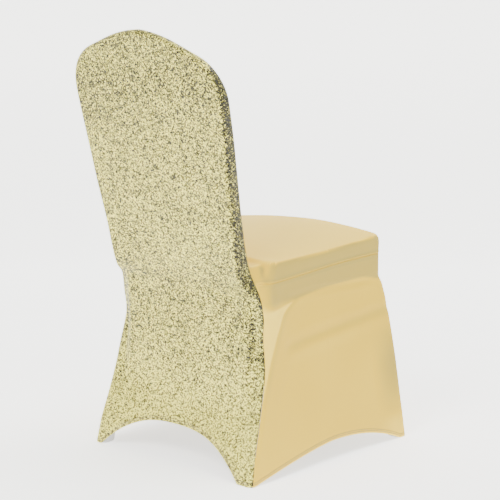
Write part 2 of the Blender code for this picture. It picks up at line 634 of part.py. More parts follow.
def seat_panel(cloth):
    seam_heights = np.array(SEAM_HEIGHTS[-1:] + UPPER_HEIGHTS)
    upper_seam = side_seam(seam_heights)[::-1]
    top_seam = crown_seam(CROWN_STEPS)
    upper_seam[0] = top_seam[0]
    lower_seam = seat_seam()
    front_seam = lower_seam[SIDES:-SIDES]
    left_seam = np.concatenate([upper_seam, lower_seam[:SIDES + 1]])
    upper = len(upper_seam)

    # Border of the grid: down the front of the back, through the fold, along the seat's edge
    left = left_seam.copy()
    ways = CROWN_CENTRE - top_seam
    ways[:, 1] = 0
    ways = ways / np.linalg.norm(ways, axis=1, keepdims=True)
    rows_up = upper - FOLD_ROWS
    share = rise(upper_seam[:, 2], BACK_TURN, upper_seam[0, 2])[:, None]
    inward = np.array([BACK_INSET, 0.0, 0.0]) * (1 - share) + ways[0] * BACK_INSET * share
    left[:upper] = upper_seam + inward
    left[:upper, 1] = column(BACK, left[:upper, 2], 2) - column(BACK, left[:upper, 2], 4)
    left[upper:, 0] = left_seam[upper:, 0] + SEAT_INSET
    left[upper:, 2] = SEAT_TOP
    rear_end = left_seam[upper, 1]
    shorter = 1 - SEAT_INSET / (rear_end - left_seam[-1, 1])
    left[upper:, 1] = rear_end - (rear_end - left_seam[upper:, 1]) * shorter
    # The fold rows turn from the back's face to the seat
    fold_start = left[rows_up - 1].copy()
    fold_end = left[upper].copy()
    fold_corner = np.array([FOLD_CORNER_X, fold_start[1] + FOLD_CORNER_Y, SEAT_TOP + FOLD_CORNER_UP])
    for k in range(FOLD_ROWS):
        t = (k + 1) / (FOLD_ROWS + 1)
        left[rows_up + k] = (1 - t) ** 2 * fold_start + 2 * t * (1 - t) * fold_corner + t**2 * fold_end
    top = top_seam + ways * BACK_INSET
    top[:, 1] = column(BACK, top[:, 2], 2) - column(BACK, top[:, 2], 4)
    left[:rows_up] = settle(left[:rows_up], (0, 1, 0))
    left[rows_up:upper] = settle(left[rows_up:upper])
    left[upper:] = settle(left[upper:], (0, 0, 1))
    top = settle(top, (0, 1, 0))
    left[0] = top[0]
    right = left * np.array([-1.0, 1.0, 1.0])
    bottom = front_seam + np.array([0.0, SEAT_INSET, 0.0])
    bottom[:, 0] *= 1 - SEAT_INSET / SEAT_FRONT_HALF
    bottom[:, 2] = SEAT_TOP
    bottom = settle(bottom, (0, 0, 1))
    bottom[0] = left[-1]
    bottom[-1] = right[-1]

    # Profile down the middle, sharing its steps with the border
    rows = len(left)
    a = (np.linspace(-1, 1, FRONT_STEPS + 1) + 1) / 2
    grid = np.empty((rows, FRONT_STEPS + 1, 3))
    for i in range(rows):
        shape_top = top - ((1 - a)[:, None] * top[0] + a[:, None] * top[-1])
        shape_bottom = bottom - ((1 - a)[:, None] * bottom[0] + a[:, None] * bottom[-1])
        line = (1 - a)[:, None] * left[i] + a[:, None] * right[i]
        if i < rows_up:
            lift = (left[i, 2] - left[rows_up, 2]) / (left[0, 2] - left[rows_up, 2])
            grid[i] = line + shape_top * lift
            grid[i, :, 1] = left[i, 1]
        elif i >= upper:
            push = (left[upper, 1] - left[i, 1]) / (left[upper, 1] - left[-1, 1])
            grid[i] = line + shape_bottom * push
        else:
            grid[i] = line
    grid[:rows_up] = settle(grid[:rows_up], (0, 1, 0))
    grid[rows_up:upper] = settle(grid[rows_up:upper])
    grid[upper:] = settle(grid[upper:], (0, 0, 1))
    grid[0] = top
    grid[-1] = bottom
    grid[:, 0] = left
    grid[:, -1] = right

    panel = Panel("seat_panel")
    index = panel.add(grid, outward(grid), CLOTH)
    panel.skin(index)

    # Once round: across the crown, down the right side, across the front, up the left side
    border = np.concatenate([grid[0], grid[1:, -1], grid[-1, -2::-1], grid[-2:0:-1, 0]])
    border_index = np.concatenate([index[0], index[1:, -1], index[-1, -2::-1], index[-2:0:-1, 0]])
    right_seam = left_seam * np.array([-1.0, 1.0, 1.0])
    seam = np.concatenate([top_seam, right_seam[1:], front_seam[-2::-1], left_seam[-2:0:-1]])
    over_back = seam.copy()
    over_back[:, 1] = border[:, 1]
    over_seat = seam.copy()
    over_seat[:, 2] = border[:, 2]
    straight = (border + seam) / 2
    seatward = 1 - rise(border[:, 1], *OVER_SEAT)[:, None]
    backward = rise(border[:, 2], *OVER_BACK)[:, None]
    corner = over_seat * seatward + over_back * backward + straight * (1 - seatward - backward)
    upright = rise(seam[:, 2], *UPRIGHT) * (1 - rise(seam[:, 2], *UPRIGHT_END))
    free = np.stack([np.ones_like(upright), np.ones_like(upright), 1 - upright], axis=-1)
    rows = rings(border, corner, seam, SEAT_RINGS)
    rows[1:-1] = settle(rows[1:-1], free)
    rows[-1] = draw_back(seam, rows[-2])
    outs = [outward(row) for row in rows[:-1]] + [outward(seam)]
    strips = [border_index]
    for row, out in zip(rows[1:], outs[1:]):
        strips.append(panel.add(row, out, CLOTH))
    loop = np.array(strips)
    loop = np.concatenate([loop, loop[:, :1]], axis=1)
    panel.skin(loop[::-1])
    return panel.build(cloth)


def skirt(cloth):
    left_seam = side_seam(SEAM_HEIGHTS)
    right_seam = left_seam * np.array([-1.0, 1.0, 1.0])
    top = seat_seam()
    foot = lower_points(np.zeros(LOWER_COLUMNS))
    for _ in range(4):
        foot = lower_points(hem_height(foot[:, 0], foot[:, 1]))
    share = np.array(SEAM_HEIGHTS)[:, None] / SEAM_HEIGHTS[-1]
    heights = foot[:, 2] + (top[:, 2] - foot[:, 2]) * share
    inner = lower_points(heights)
    inner[-1] = top
    grid = np.concatenate([left_seam[:, None], inner, right_seam[:, None]], axis=1)
    outs = through_cloth(grid)
    drawn = grid.copy()
    drawn[:, 0] = draw_back(grid[:, 0], grid[:, 1])
    drawn[:, -1] = draw_back(grid[:, -1], grid[:, -2])
    drawn[-1, 1:-1] = draw_back(grid[-1, 1:-1], grid[-2, 1:-1])
    for at, inner_at in ((0, 1), (-1, -2)):
        way = grid[-2, inner_at] - grid[-1, at]
        drawn[-1, at] = grid[-1, at] + way / np.linalg.norm(way) * SEAM_GAP
    panel = Panel("skirt")
    thick = cloth_at(len(SEAM_HEIGHTS), SEAM_HEIGHTS)
    index = panel.add(drawn, outs, thick[:, None])
    panel.skin(index)
    return panel.build(cloth)


# A cup in a corner of the skirt, its section nested against the panels
def foot_pocket(name, side, to_rear, cloth):
    turn = np.linspace(0, 2 * np.pi, POCKET_STEPS, endpoint=False)
    across = np.sign(np.cos(turn)) * np.abs(np.cos(turn)) ** POCKET_SQUARE
    along = np.sign(np.sin(turn)) * np.abs(np.sin(turn)) ** POCKET_SQUARE
    half_column, y_column = (1, 2) if to_rear else (3, 4)
    inward = -1 if to_rear else 1
    rows = []
    for height, size in zip(POCKET_HEIGHTS, POCKET_SIZES):
        z = np.full(POCKET_STEPS, height * POCKET_TALL)
        hem = 1 - rise(z, HEM_DEPTH, SEAM_HEIGHTS[2])
        depth = CLOTH + (HEM_CLOTH - CLOTH) * hem + POCKET_GAP
        middle_x = side * (column(LEGS, z, half_column) - depth - POCKET_HALF)
        middle_y = column(LEGS, z, y_column) + inward * (depth + POCKET_HALF)
        x = middle_x + across * POCKET_HALF * size
        y = middle_y + along * POCKET_HALF * size
        row = np.stack([x, y, z], axis=-1)
        for _ in range(POCKET_ROUNDS):
            over = np.maximum(form(row) + depth, 0)[:, None]
            row = row - outward(row) * np.array([1.0, 1.0, 0.0]) * over
        rows.append(row)
    rows = np.array(rows)
    sideways = rows - rows.mean(axis=1, keepdims=True)
    sideways = sideways / np.linalg.norm(sideways, axis=-1, keepdims=True)
    down = 1 - rise(rows[..., 2:], 0.0, POCKET_HEIGHTS[3] * POCKET_TALL)
    outs = sideways * (1 - down) + np.array([0.0, 0.0, -1.0]) * down
    for row, outward_part, down_part in POCKET_TURN:
        outs[row] = sideways[row] * outward_part + np.array([0.0, 0.0, -down_part])
    outs[4] = outs[4] / np.linalg.norm(outs[4], axis=-1, keepdims=True)

    pocket = Panel(name)
    index = pocket.add(rows, outs, CLOTH)
    pocket.skin(np.concatenate([index, index[:, :1]], axis=1))
    pocket.faces.append(tuple(int(k) for k in index[-1]))
    return pocket.build(cloth)


def clear_scene():
    for thing in list(bpy.data.objects):
        bpy.data.objects.remove(thing, do_unlink=True)


def main():
    clear_scene()
    glitter = material("glitter_cloth", GLITTER, 0.55)
    plain = material("plain_cloth", CHAMPAGNE, 0.6)
    back_panel(glitter)
    seat_panel(plain)
    skirt(plain)
    lining = material("pocket_cloth", POCKET_GREY, 0.7)
    for name, side, to_rear in FEET:
        foot_pocket(name, side, to_rear, lining)


main()
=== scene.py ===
# Looks of the stretch chair cover: glitter back panel, plain seat and front panel, plain skirt and four
# foot pockets, as fine cloth with its folds, seams, turned hems, twin stitching and loose threads.
# Metres, +Z up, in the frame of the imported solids. The cloth lies on the same smooth form as they do.

import random

import bpy
import numpy as np
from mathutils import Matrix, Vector


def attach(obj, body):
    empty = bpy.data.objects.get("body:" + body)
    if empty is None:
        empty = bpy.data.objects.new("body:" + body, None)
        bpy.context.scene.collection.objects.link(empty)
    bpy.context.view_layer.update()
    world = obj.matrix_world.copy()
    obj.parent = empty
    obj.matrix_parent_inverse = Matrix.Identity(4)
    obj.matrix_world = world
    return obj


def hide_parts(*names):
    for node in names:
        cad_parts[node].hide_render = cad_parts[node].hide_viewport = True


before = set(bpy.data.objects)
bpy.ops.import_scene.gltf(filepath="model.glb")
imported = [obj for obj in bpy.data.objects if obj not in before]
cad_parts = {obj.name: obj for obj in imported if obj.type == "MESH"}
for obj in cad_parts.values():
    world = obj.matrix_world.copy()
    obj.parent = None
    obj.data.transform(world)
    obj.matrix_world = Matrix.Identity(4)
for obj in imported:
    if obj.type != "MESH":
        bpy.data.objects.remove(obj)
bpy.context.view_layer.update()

# Cloth
CLOTH = 0.0016            # thickness of the stretched cloth
HEM_CLOTH = 0.0026        # thickness where the hem is turned up
HEM_DEPTH = 0.009
LEVEL_BELOW = 0.04
SEAM_GAP = 0.0003         # gap between two panels along their seam

# Seat
SEAT_TOP = 0.4504         # height of the seat's edge
SEAT_CROWN = 0.016        # rise of the seat's middle above its edge
SEAT_TILT = 0.010         # the seat is higher on the left by this much for each metre across
SEAT_FORWARD = 0.16       # rise of its left edge towards the front, from this y on
SEAT_FORWARD_Y = 0.07
SEAT_HALF = 0.215
SEAT_MIDDLE_Y = -0.04
SEAT_REACH = 0.27         # half the length over which the crown fades
SEAT_EDGE = 0.007         # softness of the seat's edge at the sides and at the front
SEAT_EDGE_FRONT = 0.022
SEAT_EDGE_FROM = (0.175, 0.208)      # distances before the middle over which it turns softer
LEG_ROUND = 0.016         # plan radius of the lower part's corners

# Back
CROWN_TOP = 0.930
CROWN_SLOPE = 0.387
CROWN_SOFT = 0.022
SHOULDER_HALF = 0.2128
SHOULDER_Z = 0.863
SHOULDER_SOFT = 0.065
BACK_EDGE = 0.010         # radius of the back's long edges
BACK_FOOT = 0.24          # where the back's form ends, inside the lower part
BACK_FOOT_SOFT = 0.02
BLEND = 0.035             # how softly the back runs into the lower part

# Back: height, half width, rear y at the sides, rear y in the middle, depth from rear to front face
BACK = (
    (0.250, 0.1700, 0.1250, 0.1300, 0.034),
    (0.300, 0.1900, 0.1460, 0.1540, 0.034),
    (0.340, 0.2010, 0.1590, 0.1680, 0.034),
    (0.360, 0.2015, 0.1630, 0.1730, 0.034),
    (0.380, 0.1985, 0.1740, 0.1800, 0.036),
    (0.400, 0.1935, 0.1960, 0.1880, 0.042),
    (0.420, 0.1880, 0.2090, 0.1970, 0.044),
    (0.440, 0.1865, 0.2160, 0.2060, 0.043),
    (0.500, 0.1890, 0.2280, 0.2260, 0.037),
    (0.600, 0.1975, 0.2500, 0.2500, 0.034),
    (0.700, 0.2045, 0.2705, 0.2705, 0.034),
    (0.800, 0.2105, 0.2910, 0.2910, 0.031),
    (0.863, 0.2128, 0.3012, 0.3012, 0.023),
    (0.930, 0.2130, 0.3146, 0.3146, 0.021),
)

# Lower part: height, half width at the rear, rear y, half width at the front, front y
LEGS = (
    (0.000, 0.2370, 0.2290, 0.2480, -0.2740),
    (0.050, 0.2350, 0.2170, 0.2450, -0.2690),
    (0.100, 0.2300, 0.2020, 0.2410, -0.2630),
    (0.200, 0.2200, 0.1740, 0.2320, -0.2530),
    (0.300, 0.2075, 0.1590, 0.2220, -0.2370),
    (0.350, 0.2035, 0.1570, 0.2170, -0.2240),
    (0.380, 0.2050, 0.1550, 0.2140, -0.2140),
    (0.420, 0.2090, 0.1450, 0.2140, -0.2130),
    (0.460, 0.2110, 0.1330, 0.2150, -0.2130),
)

# Cloth drawn in between two legs: height, at the sides, at the front, at the rear
DRAWN_IN = (
    (0.000, 0.0000, 0.0000, 0.0000),
    (0.100, 0.0080, 0.0100, 0.0090),
    (0.200, 0.0100, 0.0120, 0.0070),
    (0.300, 0.0080, 0.0060, 0.0000),
    (0.369, 0.0055, 0.0010, 0.0000),
    (0.420, 0.0010, -0.0020, -0.0200),
    (0.460, -0.0020, -0.0120, -0.0250),
)

# Cloth bridging from the seat's rear corner to the back: half width at the rear, widening forwards
BRIDGE_HALF = 0.1790
BRIDGE_REAR = 0.178
BRIDGE_FRONT = 0.118
BRIDGE_WIDENS = 0.30
BRIDGE_FROM = 0.178
BRIDGE_TOP = 0.449
BRIDGE_SOFT = 0.014
BRIDGE_BLEND = 0.013

# Ridge where the side leaves the rear leg: height, y, rise
LEG_RIDGE = (
    (0.140, 0.1850, 0.0000),
    (0.198, 0.1650, 0.0015),
    (0.248, 0.1440, 0.0032),
    (0.296, 0.1220, 0.0048),
    (0.333, 0.1080, 0.0045),
    (0.362, 0.0800, 0.0000),
)
RIDGE_REAR = 0.018
RIDGE_FRONT = 0.050

# Soft troughs in the sides: side, rear y, rear z, front y, front z, depth, half width
CREASES = (
    (-1, 0.075, 0.270, -0.215, 0.296, 0.0030, 0.012),
    (-1, 0.060, 0.371, -0.200, 0.367, 0.0020, 0.009),
    (1, 0.050, 0.282, -0.215, 0.288, 0.0026, 0.013),
    (1, 0.070, 0.369, -0.200, 0.367, 0.0020, 0.009),
)
CREASE_END = 0.03
ON_SIDE = (0.12, 0.18)    # distances from the middle over which the sides' folds set in

# Seam between the glitter back and the plain cloth: height, y
SIDE_SEAM = (
    (0.000, 0.2225),
    (0.050, 0.2125),
    (0.100, 0.1970),
    (0.145, 0.1835),
    (0.195, 0.1705),
    (0.245, 0.1610),
    (0.290, 0.1570),
    (0.325, 0.1580),
    (0.352, 0.1605),
    (0.378, 0.1645),
    (0.408, 0.1690),
    (0.430, 0.1750),
    (0.460, 0.1850),
    (0.500, 0.1970),
    (0.540, 0.2080),
)
SEAM_FROM_FRONT = 0.003   # above the seat, the seam's distance behind the front face
SEAM_TURNS = (0.49, 0.54)            # heights over which it leaves the table for that distance

# Seam between the seat's side and the skirt
SEAT_SEAM_REAR = 0.4115
SEAT_SEAM_FRONT = 0.4225
SEAT_SEAM_RISE = (0.17, -0.13)   # y where the rise begins and ends

# Hems
REAR_ARCH = 0.0800        # height of the rear hem's arch
REAR_ARCH_HALF = 0.2035
REAR_ARCH_MIDDLE = 0.010
REAR_ARCH_POWER = 2.6
SIDE_ARCH = 0.0425
SIDE_ARCH_Y = -0.035
SIDE_ARCH_REAR = 0.2575
SIDE_ARCH_FRONT = 0.212
SIDE_POWER_REAR = 1.385
SIDE_POWER_FRONT = 2.35
FRONT_ARCH = 0.0780
FRONT_ARCH_HALF = 0.216
FRONT_ARCH_POWER = 2.6
REAR_HEM_FROM = 0.12      # the rear hem lies behind this y
SIDE_HEM_FROM = 0.222     # the side hems lie farther out than this

# Mesh lines of the fine cloth
SEAM_HEIGHTS = (0.0, 0.009, 0.030, 0.060, 0.100, 0.145, 0.195, 0.245, 0.290, 0.325, 0.352, 0.378, 0.4115)
UPPER_HEIGHTS = (0.430, 0.454, 0.478, 0.504, 0.540, 0.590, 0.660, 0.730, 0.785, 0.826)
FOLD_TOP = 0.590          # the border leaves the seam's line below this height, to turn into the seat
CLOSE_SHARES = (0.0015, 0.003, 0.005, 0.008)      # columns beside the rear seam
HEM_ROWS = (0.0, 0.0003, 0.0007, 0.0012, 0.0018, 0.0026, 0.0036, 0.0046, 0.0051, 0.0055, 0.0059, 0.0064,
            0.0069, 0.0074, 0.0079, 0.0083, 0.0088, 0.0094, 0.0102, 0.0114)
STEP = 0.0042             # longest step of the fine cloth
CROWN_STEPS = 108
FRONT_STEPS = 108
BACK_INSET = 0.013
BACK_TURN = 0.70          # above this height the border turns towards the crown's centre
FOOT_EVEN = 0.55          # share of even spacing among the columns at the rear hem
FOOT_REACH = 0.2          # y at which the rear hem's height is read
STITCHED_HALF = 0.222     # half width of the rear hem's stitches
STITCHED_STEPS = 160
SEAT_INSET = 0.020
SEAT_FRONT_HALF = 0.210   # half width of the seat's front edge between its rounded corners
FOLD_CORNER_X = -0.183    # guide for the fold rows: x, y from their start, height above the edge
FOLD_CORNER_Y = -0.018
FOLD_CORNER_UP = 0.004
OVER_SEAT = (0.115, 0.150)           # y over which the rings stop running over the seat's edge
OVER_BACK = (0.475, 0.520)           # heights over which they begin to run over the back's edge
UPRIGHT = (0.50, 0.54)               # heights over which ring points become level-bound
UPRIGHT_END = (0.74, 0.82)           # and over which they are free again
# Places from which points are moved onto the form
CROWN_CENTRE = np.array([0.0, 0.0, 0.66])
CROWN_FAR = 0.34
BEHIND = 0.42
OUTSIDE = 0.32
SEAM_START = -0.30
CORNER_START = 0.06
CORNER_TURNS = tuple(range(9, 90, 9))
REACH_STEPS = 60
REACH_SHARE = 0.6
REACH_LIMITS = (-0.02, 0.05)
SETTLE_STEPS = 14
SETTLE_LIMITS = (-0.02, 0.02)
SETTLE_LEAST = 0.05       # least squared slope that a step is divided by
ROUNDS = 4                # times that a curve on the form is found anew from its last place
RING_FAR = 0.05
# Rows of the rings round the edges, as shares of the way to the seam
BACK_RINGS = np.concatenate([np.linspace(0, 0.9, 18), [0.93, 0.96, 0.98, 1.0]])
SEAT_RINGS = np.concatenate([np.linspace(0, 0.9, 19), [0.93, 0.955, 0.975, 0.99, 1.0]])
NEAR_TOP = np.array([0.0030, 0.0018, 0.0009, 0.0004])      # the skirt's last rows below its seam
MIRROR = np.array([-1.0, 1.0, 1.0])

# Foot pockets: height, room for the leg, gap to the panels
POCKET_TALL = 0.050
POCKET_HALF = 0.0152
POCKET_SQUARE = 0.5       # 1 is a round section, 0 a square one
POCKET_GAP = 0.0009
POCKET_STEPS = 64
POCKET_ROUNDS = 6
POCKET_WALL = (1, 0.16, 22)          # heights of the wall's rows, as shares: first, last, number
# Rows round the pocket's foot: height and size, as shares
POCKET_FOOT = (
    (0.10, 1.0), (0.06, 0.99), (0.03, 0.97), (0.012, 0.94), (0.003, 0.90),
    (0.0, 0.86), (0.0, 0.70), (0.0, 0.50), (0.0, 0.30), (0.0, 0.10),
)
POCKET_TURNED = 0.10      # share of its height over which the pocket turns under
POCKET_BULGE = (0.012, 3, 40)        # uneven width: share, waves around, radians for a metre up
POCKET_EDGE = 0.0007
POCKET_HEM = (0.005, 0.0008, 0.0002)     # ridge below its rim: depth, half width, rise
FEET = (
    ("foot_pocket_rear_left", -1, True),
    ("foot_pocket_rear_right", 1, True),
    ("foot_pocket_front_left", -1, False),
    ("foot_pocket_front_right", 1, False),
)

# From the form's y to the frame's y
TO_FRAME = np.array([0.0, -0.01925, 0.0])

# Camera, fitted to the photo
CAMERA_AT = (-2.7643, 2.96975, 1.3141)
CAMERA_WAY = (0.6607, -0.7200, -0.2123)
CAMERA_LENS = 138.5


# Smooth curve through one column of a table, without overshoot
def column(table, at, index):
    rows = np.asarray(table, float)
    xs, ys = rows[:, 0], rows[:, index]
    steps = np.diff(xs)
    slopes = np.diff(ys) / steps
    tangents = np.zeros_like(ys)
    tangents[0] = slopes[0]
    tangents[-1] = slopes[-1]
    for i in range(1, len(xs) - 1):
        if slopes[i - 1] * slopes[i] > 0:
            near = 2 * steps[i] + steps[i - 1]
            far = steps[i] + 2 * steps[i - 1]
            tangents[i] = (near + far) / (near / slopes[i - 1] + far / slopes[i])
    at = np.clip(at, xs[0], xs[-1])
    i = np.clip(np.searchsorted(xs, at, side="right") - 1, 0, len(xs) - 2)
    h = steps[i]
    t = (at - xs[i]) / h
    start = (2 * t**3 - 3 * t**2 + 1) * ys[i] + (t**3 - 2 * t**2 + t) * h * tangents[i]
    end = (3 * t**2 - 2 * t**3) * ys[i + 1] + (t**3 - t**2) * h * tangents[i + 1]
    return start + end


def soft_max(a, b, soft):
    near = np.maximum(soft - np.abs(a - b), 0) / soft
    return np.maximum(a, b) + near * near * soft / 4


def soft_min(a, b, soft):
    return -soft_max(-a, -b, soft)


def rise(value, low, high):
    t = np.clip((value - low) / (high - low), 0, 1)
    return t * t * (3 - 2 * t)


def fall(value, low, high):
    return rise(-value, -high, -low)


def hump(distance, half_width):
    return np.exp(-((distance / half_width) ** 2))


def unit(ways):
    return ways / np.linalg.norm(ways, axis=-1, keepdims=True)


# Distance in plan to a symmetrical trapezium, negative inside
def trapezium(x, y, front_half, rear_half, half_depth):
    x = np.abs(x)
    to_end_x = x - np.minimum(x, np.where(y < 0, front_half, rear_half))
    to_end_y = np.abs(y) - half_depth
    lean_x = rear_half - front_half
    lean_y = 2 * half_depth
    t = ((rear_half - x) * lean_x + (half_depth - y) * lean_y) / (lean_x**2 + lean_y**2)
    t = np.clip(t, 0, 1)
    to_side_x = x - rear_half + lean_x * t
    to_side_y = y - half_depth + lean_y * t
    inside = (to_side_x < 0) & (to_end_y < 0)
    nearest = np.minimum(to_end_x**2 + to_end_y**2, to_side_x**2 + to_side_y**2)
    return np.where(inside, -1.0, 1.0) * np.sqrt(nearest)


def seat_height(x, y):
    across = np.clip(1 - (x / SEAT_HALF) ** 2, 0, 1)
    along = np.clip(1 - ((y - SEAT_MIDDLE_Y) / SEAT_REACH) ** 4, 0, 1)
    forward = SEAT_FORWARD * np.maximum(SEAT_FORWARD_Y - y, 0) ** 2 * (0.5 - x / (2 * SEAT_HALF))
    return SEAT_TOP + SEAT_CROWN * across * along - SEAT_TILT * x + forward


# How far the folds stand in from the smooth side, negative where they stand out
def fold_depth(x, y, z):
    away = y - column(LEG_RIDGE, z, 1)
    width = np.where(away > 0, RIDGE_REAR, RIDGE_FRONT)
    ridge = column(LEG_RIDGE, z, 2) * hump(away, width)
    on_side = rise(np.abs(x), *ON_SIDE)
    depth = -ridge * on_side
    for side, rear_y, rear_z, front_y, front_z, deep, half_width in CREASES:
        t = (rear_y - y) / (rear_y - front_y)
        off = z - (rear_z + (front_z - rear_z) * t)
        ends = rise(y, front_y - CREASE_END, front_y) * rise(-y, -rear_y - CREASE_END, -rear_y)
        depth = depth + deep * ends * hump(off, half_width) * rise(side * x, *ON_SIDE)
    return depth


def lower_form(x, y, z):
    rear_half = column(LEGS, z, 1)
    rear_y = column(LEGS, z, 2)
    front_half = column(LEGS, z, 3)
    front_y = column(LEGS, z, 4)
    middle = (rear_y + front_y) / 2
    half_depth = (rear_y - front_y) / 2
    plan = trapezium(x, y - middle, front_half - LEG_ROUND, rear_half - LEG_ROUND, half_depth - LEG_ROUND)
    along = np.clip((y - front_y) / (rear_y - front_y), 0, 1)
    half = front_half + (rear_half - front_half) * along
    across = np.clip(1 - (x / half) ** 2, 0, 1)
    drawn = column(DRAWN_IN, z, 1) * 4 * along * (1 - along)
    drawn = drawn + across * np.where(along < 0.5, column(DRAWN_IN, z, 2), column(DRAWN_IN, z, 3))
    plan = plan - LEG_ROUND + drawn + fold_depth(x, y, z)
    edge = SEAT_EDGE + (SEAT_EDGE_FRONT - SEAT_EDGE) * rise(-y, *SEAT_EDGE_FROM)
    return soft_max(plan, z - seat_height(x, y), edge)


def back_form(x, y, z):
    half = column(BACK, z, 1)
    aside = np.abs(x)
    middle = np.clip(1 - (aside / half) ** 2, 0, 1)
    rear = column(BACK, z, 2) * (1 - middle) + column(BACK, z, 3) * middle
    depth = column(BACK, z, 4)
    slope = SHOULDER_Z + CROWN_SLOPE * (SHOULDER_HALF - aside)
    crown = soft_min(np.full_like(aside, CROWN_TOP), slope, CROWN_SOFT)
    outline = soft_max(aside - half, (z - crown) / np.hypot(1, CROWN_SLOPE), SHOULDER_SOFT)
    outline = soft_max(outline, BACK_FOOT - z, BACK_FOOT_SOFT) + BACK_EDGE
    through = np.abs(y - (rear - depth / 2)) - depth / 2 + BACK_EDGE
    corner = np.hypot(np.maximum(outline, 0), np.maximum(through, 0))
    return corner + np.minimum(np.maximum(outline, through), 0) - BACK_EDGE


def bridge_form(x, y, z):
    half = BRIDGE_HALF + (BRIDGE_FROM - y) * BRIDGE_WIDENS
    side = (np.abs(x) - half) / np.hypot(1, BRIDGE_WIDENS)
    length = np.maximum(y - BRIDGE_REAR, BRIDGE_FRONT - y)
    return soft_max(soft_max(side, length, BRIDGE_SOFT), z - BRIDGE_TOP, BRIDGE_SOFT)


# Zero on the outside of the cloth, negative inside
def form(points):
    x, y, z = points[..., 0], points[..., 1], points[..., 2]
    whole = soft_min(lower_form(x, y, z), back_form(x, y, z), BLEND)
    return soft_min(whole, bridge_form(x, y, z), BRIDGE_BLEND)


def slope_of_form(points):
    step = 0.0002
    parts = []
    for axis in range(3):
        shift = np.zeros(3)
        shift[axis] = step
        parts.append((form(points + shift) - form(points - shift)) / (2 * step))
    return np.stack(parts, axis=-1)


def outward(points):
    return unit(slope_of_form(points))


# The way through the cloth, level at the foot of the cover so that no hem dips below the floor
def through_cloth(points):
    way = outward(points)
    way[..., 2] *= rise(points[..., 2], HEM_DEPTH, LEVEL_BELOW)
    return unit(way)


# Moves points onto the form, along the axes that free leaves open
def settle(points, free=(1, 1, 1)):
    points = np.array(points, float)
    free = np.asarray(free, float)
    for _ in range(SETTLE_STEPS):
        slope = slope_of_form(points) * free
        size = np.maximum((slope**2).sum(axis=-1, keepdims=True), SETTLE_LEAST)
        points = points - np.clip(form(points)[..., None] * slope / size, *SETTLE_LIMITS)
    return points


# Moves points along one way, from outside the form, until they meet it
def reach(points, way):
    points = np.array(points, float)
    way = np.asarray(way, float)
    for _ in range(REACH_STEPS):
        points = points + way * np.clip(form(points), *REACH_LIMITS)[..., None] * REACH_SHARE
    return points


def front_face_y(z):
    return column(BACK, z, 2) - column(BACK, z, 4)


def side_seam_y(z):
    low = column(SIDE_SEAM, z, 1)
    high = front_face_y(z) + SEAM_FROM_FRONT
    return low + (high - low) * rise(z, *SEAM_TURNS)


# Seam points on the left side at the given heights
def side_seam(heights):
    z = np.asarray(heights, float)
    outside = np.stack([np.full_like(z, SEAM_START), side_seam_y(z), z], axis=-1)
    return reach(outside, (1, 0, 0))


# Seam points over the crown, from the left shoulder to the right one
def crown_seam(steps):
    shoulder = side_seam(UPPER_HEIGHTS[-1:])[0]
    widest = np.arctan2(-shoulder[0], shoulder[2] - CROWN_CENTRE[2])
    turn = np.linspace(-widest, widest, steps + 1)
    way = np.stack([np.sin(turn), np.zeros_like(turn), np.cos(turn)], axis=-1)
    far = np.full_like(turn, CROWN_FAR)
    for _ in range(REACH_STEPS):
        points = CROWN_CENTRE + way * far[:, None]
        points[:, 1] = side_seam_y(points[:, 2])
        far = far - np.clip(form(points), *REACH_LIMITS) * REACH_SHARE
    return points


def seat_seam_z(y):
    begin, end = SEAT_SEAM_RISE
    return SEAT_SEAM_REAR + (SEAT_SEAM_FRONT - SEAT_SEAM_REAR) * rise(-y, -begin, -end)


# Points of the lower part at the given heights, column by column: from the left rear seam along the
# side, round the front corner, across the front, and back along the right side
def lower_points(heights):
    z = np.asarray(heights, float)
    corner_x = column(LEGS, z, 3) - LEG_ROUND
    corner_y = column(LEGS, z, 4) + LEG_ROUND
    starts = np.zeros(z.shape + (3,))
    ways = np.zeros(z.shape + (3,))
    starts[..., 2] = z
    for k, share in enumerate(SIDE_SHARES):
        for at, side in ((k, -1), (-1 - k, 1)):
            seam_y = side_seam_y(z[..., at])
            starts[..., at, 0] = side * OUTSIDE
            starts[..., at, 1] = seam_y + (corner_y[..., at] - seam_y) * share
            ways[..., at, 0] = -side
    for k, turn in enumerate(np.radians(CORNER_TURNS)):
        for at, side in ((FIRST_TURN + k, -1), (-1 - FIRST_TURN - k, 1)):
            starts[..., at, 0] = side * (corner_x[..., at] + CORNER_START * np.cos(turn))
            starts[..., at, 1] = corner_y[..., at] - CORNER_START * np.sin(turn)
            ways[..., at, 0] = -side * np.cos(turn)
            ways[..., at, 1] = np.sin(turn)
    edge = FIRST_TURN + len(CORNER_TURNS)
    front = slice(edge, LOWER_COLUMNS - edge)
    starts[..., front, 0] = corner_x[..., front] * np.linspace(-1, 1, LOWER_COLUMNS - 2 * edge)
    starts[..., front, 1] = -OUTSIDE
    ways[..., front, 1] = 1
    return reach(starts, ways)


# Seam points between the seat's side and the skirt
def seat_seam():
    z = np.full(LOWER_COLUMNS, SEAT_SEAM_FRONT)
    for _ in range(ROUNDS):
        points = lower_points(z)
        z = seat_seam_z(points[:, 1])
    return lower_points(z)


